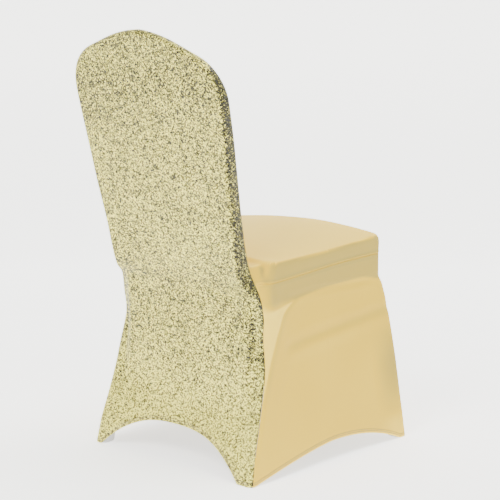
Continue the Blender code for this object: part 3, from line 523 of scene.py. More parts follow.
# Height of the hem under a point of the plan
def hem_height(x, y):
    rear = REAR_ARCH * (1 - np.clip(np.abs(x - REAR_ARCH_MIDDLE) / REAR_ARCH_HALF, 0, 1) ** REAR_ARCH_POWER)
    front = FRONT_ARCH * (1 - np.clip(np.abs(x) / FRONT_ARCH_HALF, 0, 1) ** FRONT_ARCH_POWER)
    behind = np.clip((y - SIDE_ARCH_Y) / SIDE_ARCH_REAR, 0, 1) ** SIDE_POWER_REAR
    before = np.clip((SIDE_ARCH_Y - y) / SIDE_ARCH_FRONT, 0, 1) ** SIDE_POWER_FRONT
    side = SIDE_ARCH * (1 - behind - before)
    on_rear = y > REAR_HEM_FROM
    on_side = np.abs(x) > SIDE_HEM_FROM
    return np.where(on_side, side, np.where(on_rear, rear, front))


# Fills a grid from its four border curves
def fill(bottom, top, left, right, a, b):
    a = a[None, :, None]
    b = b[:, None, None]
    across = (1 - b) * bottom[None] + b * top[None]
    along = (1 - a) * left[:, None] + a * right[:, None]
    corners = (1 - b) * ((1 - a) * bottom[0] + a * bottom[-1]) + b * ((1 - a) * top[0] + a * top[-1])
    return across + along - corners


# Rows of points from a panel's grid border, round an edge, to its seam
def rings(border, corner, seam, steps):
    rows = [(1 - t) ** 2 * border + 2 * t * (1 - t) * corner + t**2 * seam for t in steps[1:-1]]
    return np.array([border] + rows + [seam])


# Moves inner rows onto the form, each met from outside on the way to a point inside the edge
def reach_rings(rows, inner):
    rows = rows.copy()
    for k in range(1, len(rows) - 1):
        way = unit(rows[k] - inner)
        rows[k] = reach(inner + way * RING_FAR, -way)
    return rows


# Draws a seam back by half its gap, square to the seam and towards the row before it
def draw_back(seam, before):
    way = before - seam
    along = unit(np.gradient(seam, axis=0))
    way = way - along * (way * along).sum(axis=-1, keepdims=True)
    return seam + unit(way) * SEAM_GAP / 2


# Level ways from the crown's seam towards its centre
def crown_ways(seam):
    ways = CROWN_CENTRE - seam
    ways[:, 1] = 0
    return unit(ways)


# Splits the steps of a list so that none is longer than the given size
def finer(values, size):
    out = [values[0]]
    for start, end in zip(values[:-1], values[1:]):
        steps = max(1, int(np.ceil(abs(end - start) / size)))
        out.extend(start + (end - start) * (k + 1) / steps for k in range(steps))
    return np.array(out)


LOW_HEIGHTS = np.concatenate([np.array(HEM_ROWS), finer((HEM_ROWS[-1],) + SEAM_HEIGHTS[2:], STEP)[1:]])
HIGH_HEIGHTS = finer(SEAM_HEIGHTS[-1:] + UPPER_HEIGHTS, STEP)[1:]
SIDE_SHARES = np.concatenate([np.array(CLOSE_SHARES), finer((0.012, 1.0), 0.0092)])
FIRST_TURN = len(SIDE_SHARES)
SIDES = FIRST_TURN + len(CORNER_TURNS) // 2       # columns before the middle of a front corner
LOWER_COLUMNS = 2 * SIDES + FRONT_STEPS + 1


# Height above the hem's edge
def above_hem(points):
    return points[..., 2] - hem_height(points[..., 0], points[..., 1])


# Length along the rows of a grid, from its first row
def run(rows):
    steps = np.linalg.norm(np.diff(rows, axis=0), axis=-1)
    return np.concatenate([np.zeros((1,) + steps.shape[1:]), np.cumsum(steps, axis=0)])


# Soft folds too fine for the solids: face, start, end, rise (negative for a trough), half width.
# A point is (across, z): y on the sides, x on the rear and the front.
FINE_FOLDS = (
    ("left", (0.040, 0.380), (-0.205, 0.362), -0.0008, 0.0040),
    ("left", (0.030, 0.362), (-0.190, 0.352), 0.0006, 0.0060),
    ("left", (-0.165, 0.350), (-0.232, 0.050), -0.0012, 0.0150),
    ("left", (0.060, 0.268), (-0.215, 0.288), -0.0010, 0.0060),
    ("left", (0.070, 0.296), (-0.200, 0.312), 0.0008, 0.0080),
    ("left", (0.150, 0.120), (0.060, 0.250), -0.0006, 0.0090),
    ("left", (0.185, 0.060), (0.000, 0.150), 0.0005, 0.0120),
    ("left", (-0.225, 0.060), (-0.060, 0.180), 0.0005, 0.0120),
    ("left", (0.1480, 0.4520), (0.1500, 0.4170), -0.0026, 0.0042),
    ("left", (0.120, 0.436), (-0.180, 0.438), 0.0004, 0.0050),
    ("right", (0.040, 0.380), (-0.205, 0.362), -0.0008, 0.0045),
    ("right", (-0.165, 0.350), (-0.232, 0.050), -0.0012, 0.0150),
    ("right", (0.050, 0.282), (-0.215, 0.278), -0.0010, 0.0070),
    ("right", (0.185, 0.070), (0.010, 0.170), 0.0005, 0.0120),
    ("right", (0.1480, 0.4520), (0.1500, 0.4170), -0.0024, 0.0042),
    ("rear", (-0.175, 0.374), (-0.060, 0.392), -0.0014, 0.0070),
    ("rear", (0.175, 0.372), (0.050, 0.394), -0.0014, 0.0070),
    ("rear", (-0.120, 0.362), (0.110, 0.358), 0.0008, 0.0110),
    ("rear", (-0.170, 0.345), (-0.205, 0.100), -0.0010, 0.0130),
    ("rear", (0.170, 0.345), (0.205, 0.100), -0.0010, 0.0130),
    ("rear", (-0.170, 0.460), (-0.060, 0.520), 0.0006, 0.0140),
    ("rear", (0.165, 0.440), (0.040, 0.500), 0.0006, 0.0140),
    ("rear", (-0.205, 0.030), (-0.110, 0.130), 0.0006, 0.0100),
    ("rear", (0.205, 0.030), (0.120, 0.120), 0.0006, 0.0100),
    ("front", (-0.190, 0.370), (0.190, 0.366), -0.0014, 0.0070),
    ("front", (-0.180, 0.285), (0.120, 0.262), -0.0010, 0.0100),
    ("front", (0.205, 0.060), (0.080, 0.200), 0.0006, 0.0120),
    ("front", (-0.205, 0.060), (-0.070, 0.190), 0.0006, 0.0120),
    ("chest", (-0.170, 0.500), (-0.020, 0.560), 0.0007, 0.0120),
    ("chest", (0.170, 0.500), (0.030, 0.550), 0.0007, 0.0120),
    ("chest", (-0.175, 0.860), (0.020, 0.800), -0.0005, 0.0160),
)
FOLD_PAST = -0.05         # a fold fades over these shares of its length, at each end
FOLD_FADE = 0.25
SIDE_TOP = 0.47           # height where the lower part's sides end
FRONT_TOP = 0.43
FRONT_BEFORE = -0.10
CHEST_BEHIND = 0.05
# Slow unevenness of hand-stretched cloth: share, then two crossing waves, each with its radians for a
# metre of x, y and z, and its start
SWAY_RISE = 0.00028
SWAYS = (
    (1.0, (23, 0, 9, 1.1), (0, -14, 17, 0.4)),
    (0.6, (41, 30, -27, 0.0), (0, 0, 19, 2.0)),
)

# Edge of the smooth strip over the rear leg: height, y
LEG_STRIP = (
    (0.125, 0.1900),
    (0.160, 0.1790),
    (0.204, 0.1640),
    (0.241, 0.1490),
    (0.276, 0.1320),
    (0.307, 0.1180),
    (0.341, 0.0940),
    (0.362, 0.0600),
)
STRIP_VALLEY = 0.0011
STRIP_VALLEY_HALF = 0.0045
VALLEY_FROM = (0.125, 0.190)         # heights over which the valley before it sets in, and ends
VALLEY_TO = (0.352, 0.372)

# Lower edge of the drawn cloth under the seat: y, height
UNDER_SEAT = (
    (-0.215, 0.362),
    (-0.147, 0.375),
    (-0.046, 0.372),
    (0.060, 0.361),
    (0.110, 0.352),
)
# Slanting tuck across the side: y, height
TUCK = (
    (-0.225, 0.292),
    (-0.098, 0.279),
    (0.012, 0.270),
    (0.098, 0.262),
)


# Rise of the fine folds above the smooth form
def fine_relief(points, outs):
    x, y, z = points[..., 0], points[..., 1], points[..., 2]
    faces = {
        "left": np.clip(-outs[..., 0], 0, 1) ** 2 * (z < SIDE_TOP),
        "right": np.clip(outs[..., 0], 0, 1) ** 2 * (z < SIDE_TOP),
        "rear": np.clip(outs[..., 1], 0, 1) ** 2,
        "front": np.clip(-outs[..., 1], 0, 1) ** 2 * (z < FRONT_TOP) * (y < FRONT_BEFORE),
        "chest": np.clip(-outs[..., 1], 0, 1) ** 2 * (z > FRONT_TOP) * (y > CHEST_BEHIND),
    }
    lift = np.zeros_like(x)
    for face, start, end, high, half_width in FINE_FOLDS:
        across = y if face in ("left", "right") else x
        along = np.array(end) - np.array(start)
        length = np.hypot(*along)
        away = np.stack([across - start[0], z - start[1]], axis=-1)
        t = (away @ along) / length**2
        off = (away[..., 0] * along[1] - away[..., 1] * along[0]) / length
        ends = rise(t, FOLD_PAST, FOLD_FADE) * rise(1 - t, FOLD_PAST, FOLD_FADE)
        lift = lift + high * ends * hump(off, half_width) * faces[face]
    strip = hump(y - column(LEG_STRIP, z, 1), STRIP_VALLEY_HALF)
    strip = strip * rise(z, *VALLEY_FROM) * fall(z, *VALLEY_TO)
    lift = lift - STRIP_VALLEY * strip * (faces["left"] + faces["right"])
    for share, first, second in SWAYS:
        waves = [np.sin(points @ np.array(wave[:3]) + wave[3]) for wave in (first, second)]
        lift = lift + SWAY_RISE * share * waves[0] * waves[1]
    return lift


# Cloth edges: how deep the outer and inner faces roll in at a hem, and the groove of its stitches
HEMS_BELOW = 0.12         # the hems lie below this height
HEM_ROLL = 0.0012
INNER_LIFT = 0.6          # share of the outer face's folds, and of its roll, on the inner face
INNER_ROLL = 0.8
FOLDS_FROM_SEAM = (0.0, 0.012)       # distances over which the fine folds set in
FOLDS_FROM_HEM = (0.004, 0.030)
STITCH_LINES = (0.0051, 0.0088)
STITCH_GROOVE = 0.00030
STITCH_GROOVE_HALF = 0.0007
SEAM_ROLL = 0.0010
SEAM_ROLL_HALF = 0.0016
SEAT_BEAD = 0.0014        # raised line of cloth beside the seat's seam: rise, distance, half width
SEAT_BEAD_AT = 0.0016
SEAT_BEAD_HALF = 0.0014
BEAD_TO = (0.425, 0.450)             # heights over which the line ends


def rolled(distance, radius):
    near = np.clip(1 - distance / radius, 0, 1)
    return radius * (1 - np.sqrt(1 - near**2))


# Shade of the plain cloth, mostly painted light and shade: painted highlights where its folds, seat and edges
# catch the light, painted shade in its hollows and on faces turned from the light; darker stitch lines and a
# lighter foot and hem band besides
PLAIN_SHADE = 0.45
# Painted shade on the inner faces of every sheet, which lie in the cover's shadow
INSIDE_SHADE = 0.10
SIDE_FACING = (0.45, 0.80)           # a point is on the side where its way out leans this far sideways
# Painted highlight on the strip over the rear leg, where the bulging cloth catches the light, with painted
# shade in the valley before it
LEG_STRIP_EDGE = (-0.0030, 0.0035)
LEG_STRIP_FROM = (0.120, 0.175)      # heights over which the strip sets in, and ends
LEG_STRIP_TO = (0.350, 0.372)
BESIDE_STRIP = (0.009, 0.008)        # darker line before it: distance, half width
BESIDE_FROM = (0.140, 0.200)
# Painted shade in the band under the seat, turned from the light above, with painted light below it
BAND_EDGE = (-0.0015, 0.0035)
BAND_REAR = (0.125, 0.165)           # y over which the band under the seat ends
BELOW_BAND = (0.006, 0.006)
# Painted shadow of the seat's rear corner
NOTCH = (0.1475, 0.0045)             # at the seat's rear corner: y, half width
NOTCH_FROM = (0.405, 0.425)
NOTCH_TO = (0.446, 0.458)
# Painted shade in the slanting tuck, with painted light below it
TUCK_HALF = 0.011
TUCK_REAR = (0.050, 0.110)
BELOW_TUCK = (0.024, 0.014)
# Painted shade by the front leg
FRONT_LEG = (0.165, 0.085)           # height, half height
FRONT_LEG_Y = (-0.240, -0.165)
FOOT_TOP = (0.035, 0.075)
FOOT_Y = (-0.235, -0.170)
TOWARDS_FLOOR = (0.020, 0.300)
# Added on the sides, lighter above zero and darker below: painted highlights and painted shade of the folds,
# of the band under the seat and of the seat's rear corner, and a lighter foot and lower part
SIDE_SHADES = {
    "strip": 0.40,
    "beside strip": -0.10,
    "band": -0.38,
    "below band": 0.04,
    "tuck": -0.13,
    "below tuck": 0.04,
    "front leg": -0.44,
    "foot": 0.16,
    "low": 0.05,
    "notch": -0.35,
}
HEM_SHADE = 0.06
HEM_SHADE_TO = (0.008, HEM_DEPTH)
# Painted highlight on the rolled edge of a hem
EDGE_SHADE = 0.25                    # lighter turned edge of a hem
EDGE_SHADE_TO = (0.0030, 0.0042)
STITCH_SHADE = (-0.75, 0.0008)       # along a line of stitches: shade, half width
SEAM_RANGE = (0.395, 0.460)          # heights of the seat's seam
# Painted highlight on the ridge beside the seat's seam, and painted shade below it
SEAM_SHADES = ((0.24, 0.0, 0.0022), (-0.14, 0.0062, 0.0018))     # shade, distance, half width
# Painted light on the seat's top, which faces up to the lamps, and a painted highlight along its upper edge
SEAT_SHADE = 0.16
SEAT_FACING = (0.5, 0.8)
RIM_SHADE = 0.22                     # along the seat's upper edge
RIM_FACING = (0.90, 0.12)
RIM_ABOVE = 0.42
RIM_ASIDE = (0.2, 0.4)


def plain_shade(points, outs, seam, above):
    y, z = points[..., 1], points[..., 2]
    aside, up = np.abs(outs[..., 0]), outs[..., 2]
    behind = y - column(LEG_STRIP, z, 1)
    in_strip = fall(z, *LEG_STRIP_TO)
    under = z - column(UNDER_SEAT, y, 1)
    off_tuck = z - column(TUCK, y, 1)
    before_tuck = fall(y, *TUCK_REAR)
    marks = {
        "strip": rise(behind, *LEG_STRIP_EDGE) * rise(z, *LEG_STRIP_FROM) * in_strip,
        "beside strip": hump(behind + BESIDE_STRIP[0], BESIDE_STRIP[1]) * rise(z, *BESIDE_FROM) * in_strip,
        "band": rise(under, *BAND_EDGE) * fall(y, *BAND_REAR),
        "below band": hump(under + BELOW_BAND[0], BELOW_BAND[1]),
        "tuck": hump(off_tuck, TUCK_HALF) * before_tuck,
        "below tuck": hump(off_tuck + BELOW_TUCK[0], BELOW_TUCK[1]) * before_tuck,
        "front leg": hump(z - FRONT_LEG[0], FRONT_LEG[1]) * fall(y, *FRONT_LEG_Y),
        "foot": fall(z, *FOOT_TOP) * fall(y, *FOOT_Y),
        "low": fall(z, *TOWARDS_FLOOR),
        "notch": hump(y - NOTCH[0], NOTCH[1]) * rise(z, *NOTCH_FROM) * fall(z, *NOTCH_TO),
    }
    # The sides get the painted light and shade of their folds, of the band under the seat and of the seat's
    # rear corner
    side = rise(aside, *SIDE_FACING) * (z < SEAM_RANGE[1])
    shade = PLAIN_SHADE + side * sum(SIDE_SHADES[name] * mark for name, mark in marks.items())
    # A lighter hem band, and a painted highlight on the hems' rolled edges
    shade = shade + HEM_SHADE * fall(above, *HEM_SHADE_TO) + EDGE_SHADE * fall(above, *EDGE_SHADE_TO)
    for line in STITCH_LINES:
        shade = shade + STITCH_SHADE[0] * hump(above - line, STITCH_SHADE[1])
    # Painted highlight and painted shade beside the seat's seam
    by_seam = (z > SEAM_RANGE[0]) & (z < SEAM_RANGE[1])
    for amount, distance, half_width in SEAM_SHADES:
        shade = shade + by_seam * amount * hump(seam - distance, half_width)
    # Painted highlight along the seat's rim and painted light on its top
    rim = hump(up - RIM_FACING[0], RIM_FACING[1]) * (z > RIM_ABOVE) * rise(aside, *RIM_ASIDE)
    return shade + SEAT_SHADE * rise(up, *SEAT_FACING) + RIM_SHADE * rim


# Shade of the glitter cloth: painted shade where it turns round the edge to face sideways, painted light
# towards the bottom and painted shade towards the top
GLITTER_SHADE = 0.5
TURNED_SHADE = -0.22
TURNED_FACING = (0.45, 0.85)
LOW_SHADE = 0.12
LOW_TO = (0.05, 0.30)
HIGH_SHADE = -0.04
HIGH_FROM = (0.50, 0.90)
GLITTER_SEAM = (-0.12, 0.003)        # shade, half width
GLITTER_STITCH = (-0.3, 0.0009)


def glitter_shade(points, outs, seam, above):
    z = points[..., 2]
    # Painted shade where the cloth faces sideways, painted light low down and painted shade high up
    turned = rise(np.abs(outs[..., 0]), *TURNED_FACING)
    shade = GLITTER_SHADE + TURNED_SHADE * turned
    shade = shade + LOW_SHADE * fall(z, *LOW_TO) + HIGH_SHADE * rise(z, *HIGH_FROM)
    shade = shade + GLITTER_SEAM[0] * hump(seam, GLITTER_SEAM[1])
    for line in STITCH_LINES:
        shade = shade + GLITTER_STITCH[0] * hump(above - line, GLITTER_STITCH[1])
    return shade


# Faces between the rows of a grid of point numbers
def grid_quads(index):
    quads = np.stack([index[:-1, :-1], index[:-1, 1:], index[1:, 1:], index[1:, :-1]], axis=-1)
    return quads.reshape(-1, 4)


# A sheet of cloth under construction: points of its outer face, the way out, and its faces
class Cloth:
    def __init__(self, name, shade):
        self.name = name
        self.shade = shade
        self.points = []
        self.outs = []
        self.seam = []
        self.bead = []
        self.count = 0
        self.quads = []

    # seam is the distance to the nearest sewn seam, and bead how high the cloth rises beside it
    def add(self, points, seam, bead=0.0):
        index = self.count + np.arange(points[..., 0].size).reshape(points.shape[:-1])
        self.count += index.size
        self.points.append(points.reshape(-1, 3))
        self.outs.append(through_cloth(points).reshape(-1, 3))
        self.seam.append(np.broadcast_to(seam, index.shape).reshape(-1))
        self.bead.append(np.broadcast_to(bead, index.shape).reshape(-1))
        return index

    def skin(self, index):
        self.quads.append(grid_quads(index))

    def outward_quads(self, quads, points, outs):
        first, second, third = (points[quads[:, k]] for k in range(3))
        facing = (np.cross(second - first, third - second) * outs[quads[:, 0]]).sum()
        return quads if facing > 0 else quads[:, ::-1]

    # Outer face, inner face and the strips that close the edges
    def build(self, material):
        points = np.concatenate(self.points)
        outs = np.concatenate(self.outs)
        seam = np.concatenate(self.seam)
        bead = np.concatenate(self.bead)
        quads = np.concatenate([self.outward_quads(block, points, outs) for block in self.quads])
        above = np.where(points[:, 2] < HEMS_BELOW, above_hem(points), 1.0)
        hem = 1 - rise(above, HEM_DEPTH, HEM_DEPTH + HEM_ROLL)
        thick = CLOTH + (HEM_CLOTH - CLOTH) * hem
        lift = fine_relief(points, outs) * rise(seam, *FOLDS_FROM_SEAM) * rise(above, *FOLDS_FROM_HEM)
        for line in STITCH_LINES:
            lift = lift - STITCH_GROOVE * hump(above - line, STITCH_GROOVE_HALF)
        lift = lift - SEAM_ROLL * hump(seam, SEAM_ROLL_HALF) + bead
        roll = rolled(above, HEM_ROLL)
        outer = points + outs * (lift - roll)[:, None]
        inner = points + outs * (lift * INNER_LIFT - thick + roll * INNER_ROLL)[:, None]
        total = len(points)
        outside = self.shade(points, outs, seam, above)
        # The inner faces get the painted shade
        shade = np.concatenate([outside, np.full(total, INSIDE_SHADE)])
        both = np.concatenate([outer, inner]) + TO_FRAME
        both[:, 2] = np.maximum(both[:, 2], 0.0)
        edges = np.concatenate([quads[:, [k, (k + 1) % 4]] for k in range(4)])
        keys = edges[:, 0] * total + edges[:, 1]
        back_keys = edges[:, 1] * total + edges[:, 0]
        open_edges = edges[~np.isin(keys, back_keys)]
        strips = np.concatenate([open_edges[:, ::-1], open_edges + total], axis=1)
        faces = np.concatenate([quads, quads[:, ::-1] + total, strips])
        return mesh_object(self.name, both.tolist(), faces.tolist(), material, shade)


# A mesh object, with its points' shade where it has one, painted light and shade included, from 0 for dark to
# 1 for light
def mesh_object(name, points, faces, material, shade=None):
    mesh = bpy.data.meshes.new(name)
    mesh.from_pydata(points, [], faces)
    if shade is not None:
        layer = mesh.attributes.new("shade", "FLOAT", "POINT")
        layer.data.foreach_set("value", np.clip(shade, 0, 1).astype(np.float32))
    mesh.validate()
    mesh.shade_smooth()
    mesh.materials.append(material)
    thing = bpy.data.objects.new(name, mesh)
    bpy.context.scene.collection.objects.link(thing)
    return thing


# Points behind the rear hem, at a height above it
def rear_hem(x, above):
    return np.stack([x, np.full_like(x, BEHIND), hem_height(x, np.full_like(x, FOOT_REACH)) + above], axis=-1)


def glitter_back(material):
    heights = np.concatenate([LOW_HEIGHTS, HIGH_HEIGHTS])
    left_seam = side_seam(heights)
    top_seam = crown_seam(CROWN_STEPS)
    left_seam[-1] = top_seam[0]
    left = left_seam + np.array([BACK_INSET, 0.0, 0.0])
    ways = crown_ways(top_seam)
    top = top_seam + ways * BACK_INSET
    side_share = rise(heights, BACK_TURN, heights[-1])[:, None]
    left = left * (1 - side_share) + (left_seam + ways[0] * BACK_INSET) * side_share
    left[:, 1] = BEHIND
    top[:, 1] = BEHIND
    left = reach(left, (0, -1, 0))
    top = reach(top, (0, -1, 0))
    left[-1] = top[0]
    right = left * MIRROR
    spread = np.linspace(-1, 1, CROWN_STEPS + 1)
    x = -left[0, 0] * (FOOT_EVEN * spread + (1 - FOOT_EVEN) * np.sin(spread * np.pi / 2))
    bottom = rear_hem(x, 0.0)
    bottom[0] = left[0]
    bottom[-1] = right[0]
    grid = fill(bottom, top, left, right, (spread + 1) / 2, heights / heights[-1])
    grid[..., 1] = BEHIND
    grid = reach(grid, (0, -1, 0))
    grid[:, 0] = left
    grid[:, -1] = right
    grid[-1] = top

    cloth = Cloth("glitter_back", glitter_shade)
    index = cloth.add(grid, 1.0)
    cloth.skin(index[:, ::-1])
    border = np.concatenate([grid[:, 0], grid[-1, 1:-1], grid[::-1, -1]])
    border_index = np.concatenate([index[:, 0], index[-1, 1:-1], index[::-1, -1]])
    seam = np.concatenate([left_seam, top_seam[1:-1], left_seam[::-1] * MIRROR])
    corner = seam.copy()
    corner[:, 1] = border[:, 1]
    rows = reach_rings(rings(border, corner, seam, BACK_RINGS), border + seam - corner)
    rows[-1] = draw_back(seam, rows[-2])
    to_seam = run(rows[::-1])[::-1]
    strips = [border_index]
    for row, distance in zip(rows[1:], to_seam[1:]):
        strips.append(cloth.add(row, distance))
    cloth.skin(np.array(strips))
    return cloth.build(material)


def seat_cloth(material):
    upper_heights = np.concatenate([SEAM_HEIGHTS[-1:], HIGH_HEIGHTS])
    upper_seam = side_seam(upper_heights)[::-1]
    top_seam = crown_seam(CROWN_STEPS)
    upper_seam[0] = top_seam[0]
    lower_seam = seat_seam()
    front_seam = lower_seam[SIDES:-SIDES]
    left_seam = np.concatenate([upper_seam, lower_seam[:SIDES + 1]])
    upper = len(upper_seam)
    turned = upper + len(CLOSE_SHARES)

    # Border: down the front of the back, through the fold, along the seat's edge
    left = left_seam.copy()
    ways = crown_ways(top_seam)
    rows_up = int((upper_seam[:, 2] >= FOLD_TOP - 0.0001).sum())
    share = rise(upper_seam[:, 2], BACK_TURN, upper_seam[0, 2])[:, None]
    inward = np.array([BACK_INSET, 0.0, 0.0]) * (1 - share) + ways[0] * BACK_INSET * share
    left[:upper] = upper_seam + inward
    left[:upper, 1] = front_face_y(left[:upper, 2])
    left[turned:, 0] = left_seam[turned:, 0] + SEAT_INSET
    left[turned:, 2] = SEAT_TOP
    rear_end = left_seam[turned, 1]
    shorter = 1 - SEAT_INSET / (rear_end - left_seam[-1, 1])
    left[turned:, 1] = rear_end - (rear_end - left_seam[turned:, 1]) * shorter
    fold_start = left[rows_up - 1].copy()
    fold_end = left[turned].copy()
    fold_corner = np.array([FOLD_CORNER_X, fold_start[1] + FOLD_CORNER_Y, SEAT_TOP + FOLD_CORNER_UP])
    turn_heights = (SEAM_HEIGHTS[-1] - 0.001,) + SEAM_HEIGHTS[-1:] + UPPER_HEIGHTS[:6]
    turns = np.interp(upper_seam[rows_up:, 2], turn_heights, np.linspace(1, 0, len(turn_heights)))
    last_turn = 1 - turns[-1]
    close_turns = last_turn * np.array(CLOSE_SHARES) / SIDE_SHARES[len(CLOSE_SHARES)]
    turns = np.concatenate([turns, turns[-1] + close_turns])
    for k, t in enumerate(turns):
        left[rows_up + k] = (1 - t) ** 2 * fold_start + 2 * t * (1 - t) * fold_corner + t**2 * fold_end
    top = top_seam + ways * BACK_INSET
    top[:, 1] = front_face_y(top[:, 2])
    left[:rows_up] = settle(left[:rows_up], (0, 1, 0))
    left[rows_up:turned] = settle(left[rows_up:turned])
    left[turned:] = settle(left[turned:], (0, 0, 1))
    top = settle(top, (0, 1, 0))
    left[0] = top[0]
    right = left * MIRROR
    bottom = front_seam + np.array([0.0, SEAT_INSET, 0.0])
    bottom[:, 0] *= 1 - SEAT_INSET / SEAT_FRONT_HALF
    bottom[:, 2] = SEAT_TOP
    bottom = settle(bottom, (0, 0, 1))
    bottom[0] = left[-1]
    bottom[-1] = right[-1]

    rows = len(left)
    a = (np.linspace(-1, 1, FRONT_STEPS + 1) + 1) / 2
    grid = np.empty((rows, FRONT_STEPS + 1, 3))
    shape_top = top - ((1 - a)[:, None] * top[0] + a[:, None] * top[-1])
    shape_bottom = bottom - ((1 - a)[:, None] * bottom[0] + a[:, None] * bottom[-1])
    for i in range(rows):
        line = (1 - a)[:, None] * left[i] + a[:, None] * right[i]
        if i < rows_up:
            lift = (left[i, 2] - left[rows_up, 2]) / (left[0, 2] - left[rows_up, 2])
            grid[i] = line + shape_top * lift
            grid[i, :, 1] = left[i, 1]
        elif i >= turned:
            push = (left[turned, 1] - left[i, 1]) / (left[turned, 1] - left[-1, 1])
            grid[i] = line + shape_bottom * push
        else:
            grid[i] = line
    grid[:rows_up] = settle(grid[:rows_up], (0, 1, 0))
    grid[rows_up:turned] = settle(grid[rows_up:turned])
    grid[turned:] = settle(grid[turned:], (0, 0, 1))
    grid[0] = top
    grid[-1] = bottom
    grid[:, 0] = left
    grid[:, -1] = right

    cloth = Cloth("seat_cloth", plain_shade)
    index = cloth.add(grid, 1.0)
    cloth.skin(index)
    border = np.concatenate([grid[0], grid[1:, -1], grid[-1, -2::-1], grid[-2:0:-1, 0]])
    border_index = np.concatenate([index[0], index[1:, -1], index[-1, -2::-1], index[-2:0:-1, 0]])
    right_seam = left_seam * MIRROR
    seam = np.concatenate([top_seam, right_seam[1:], front_seam[-2::-1], left_seam[-2:0:-1]])
    over_back = seam.copy()
    over_back[:, 1] = border[:, 1]
    over_seat = seam.copy()
    over_seat[:, 2] = border[:, 2]
    straight = (border + seam) / 2
    seatward = fall(border[:, 1], *OVER_SEAT)[:, None]
    backward = rise(border[:, 2], *OVER_BACK)[:, None]
    corner = over_seat * seatward + over_back * backward + straight * (1 - seatward - backward)
    upright = rise(seam[:, 2], *UPRIGHT) * fall(seam[:, 2], *UPRIGHT_END)
    rows = rings(border, corner, seam, SEAT_RINGS)
    rows[1:-1] = settle(rows[1:-1], np.stack([np.ones_like(upright), np.ones_like(upright), 1 - upright], -1))
    rows[-1] = draw_back(seam, rows[-2])
    to_seam = run(rows[::-1])[::-1]
    strips = [border_index]
    lower = 1 - rise(seam[:, 2], *BEAD_TO)
    for row, distance in zip(rows[1:], to_seam[1:]):
        bead = lower * SEAT_BEAD * hump(distance - SEAT_BEAD_AT, SEAT_BEAD_HALF)
        strips.append(cloth.add(row, distance, bead))
    loop = np.array(strips)
    loop = np.concatenate([loop, loop[:, :1]], axis=1)
    cloth.skin(loop[::-1])
    return cloth.build(material)


def skirt_grid(heights_above):
    left_seam = side_seam(heights_above)
    right_seam = left_seam * MIRROR
    top = seat_seam()
    foot = lower_points(np.zeros(LOWER_COLUMNS))
    for _ in range(ROUNDS):
        foot = lower_points(hem_height(foot[:, 0], foot[:, 1]))
    share = heights_above[:, None] / SEAM_HEIGHTS[-1]
    inner = lower_points(foot[:, 2] + (top[:, 2] - foot[:, 2]) * share)
    return np.concatenate([left_seam[:, None], inner, right_seam[:, None]], axis=1)


def skirt_cloth(material):
    heights = np.concatenate([LOW_HEIGHTS[:-1], SEAM_HEIGHTS[-1] - NEAR_TOP, SEAM_HEIGHTS[-1:]])
    grid = skirt_grid(heights)
    drawn = grid.copy()
    drawn[:, 0] = draw_back(grid[:, 0], grid[:, 1])
    drawn[:, -1] = draw_back(grid[:, -1], grid[:, -2])
    drawn[-1, 1:-1] = draw_back(grid[-1, 1:-1], grid[-2, 1:-1])
    for at, inner_at in ((0, 1), (-1, -2)):
        drawn[-1, at] = grid[-1, at] + unit(grid[-2, inner_at] - grid[-1, at]) * SEAM_GAP
    to_top = run(drawn[::-1])[::-1]
    across = drawn.transpose(1, 0, 2)
    to_left = run(across).T
    to_right = run(across[::-1])[::-1].T
    seam = np.minimum(np.minimum(to_left, to_right), to_top)
    cloth = Cloth("skirt_cloth", plain_shade)
    index = cloth.add(drawn, seam)
    cloth.skin(index)
    return cloth.build(material)


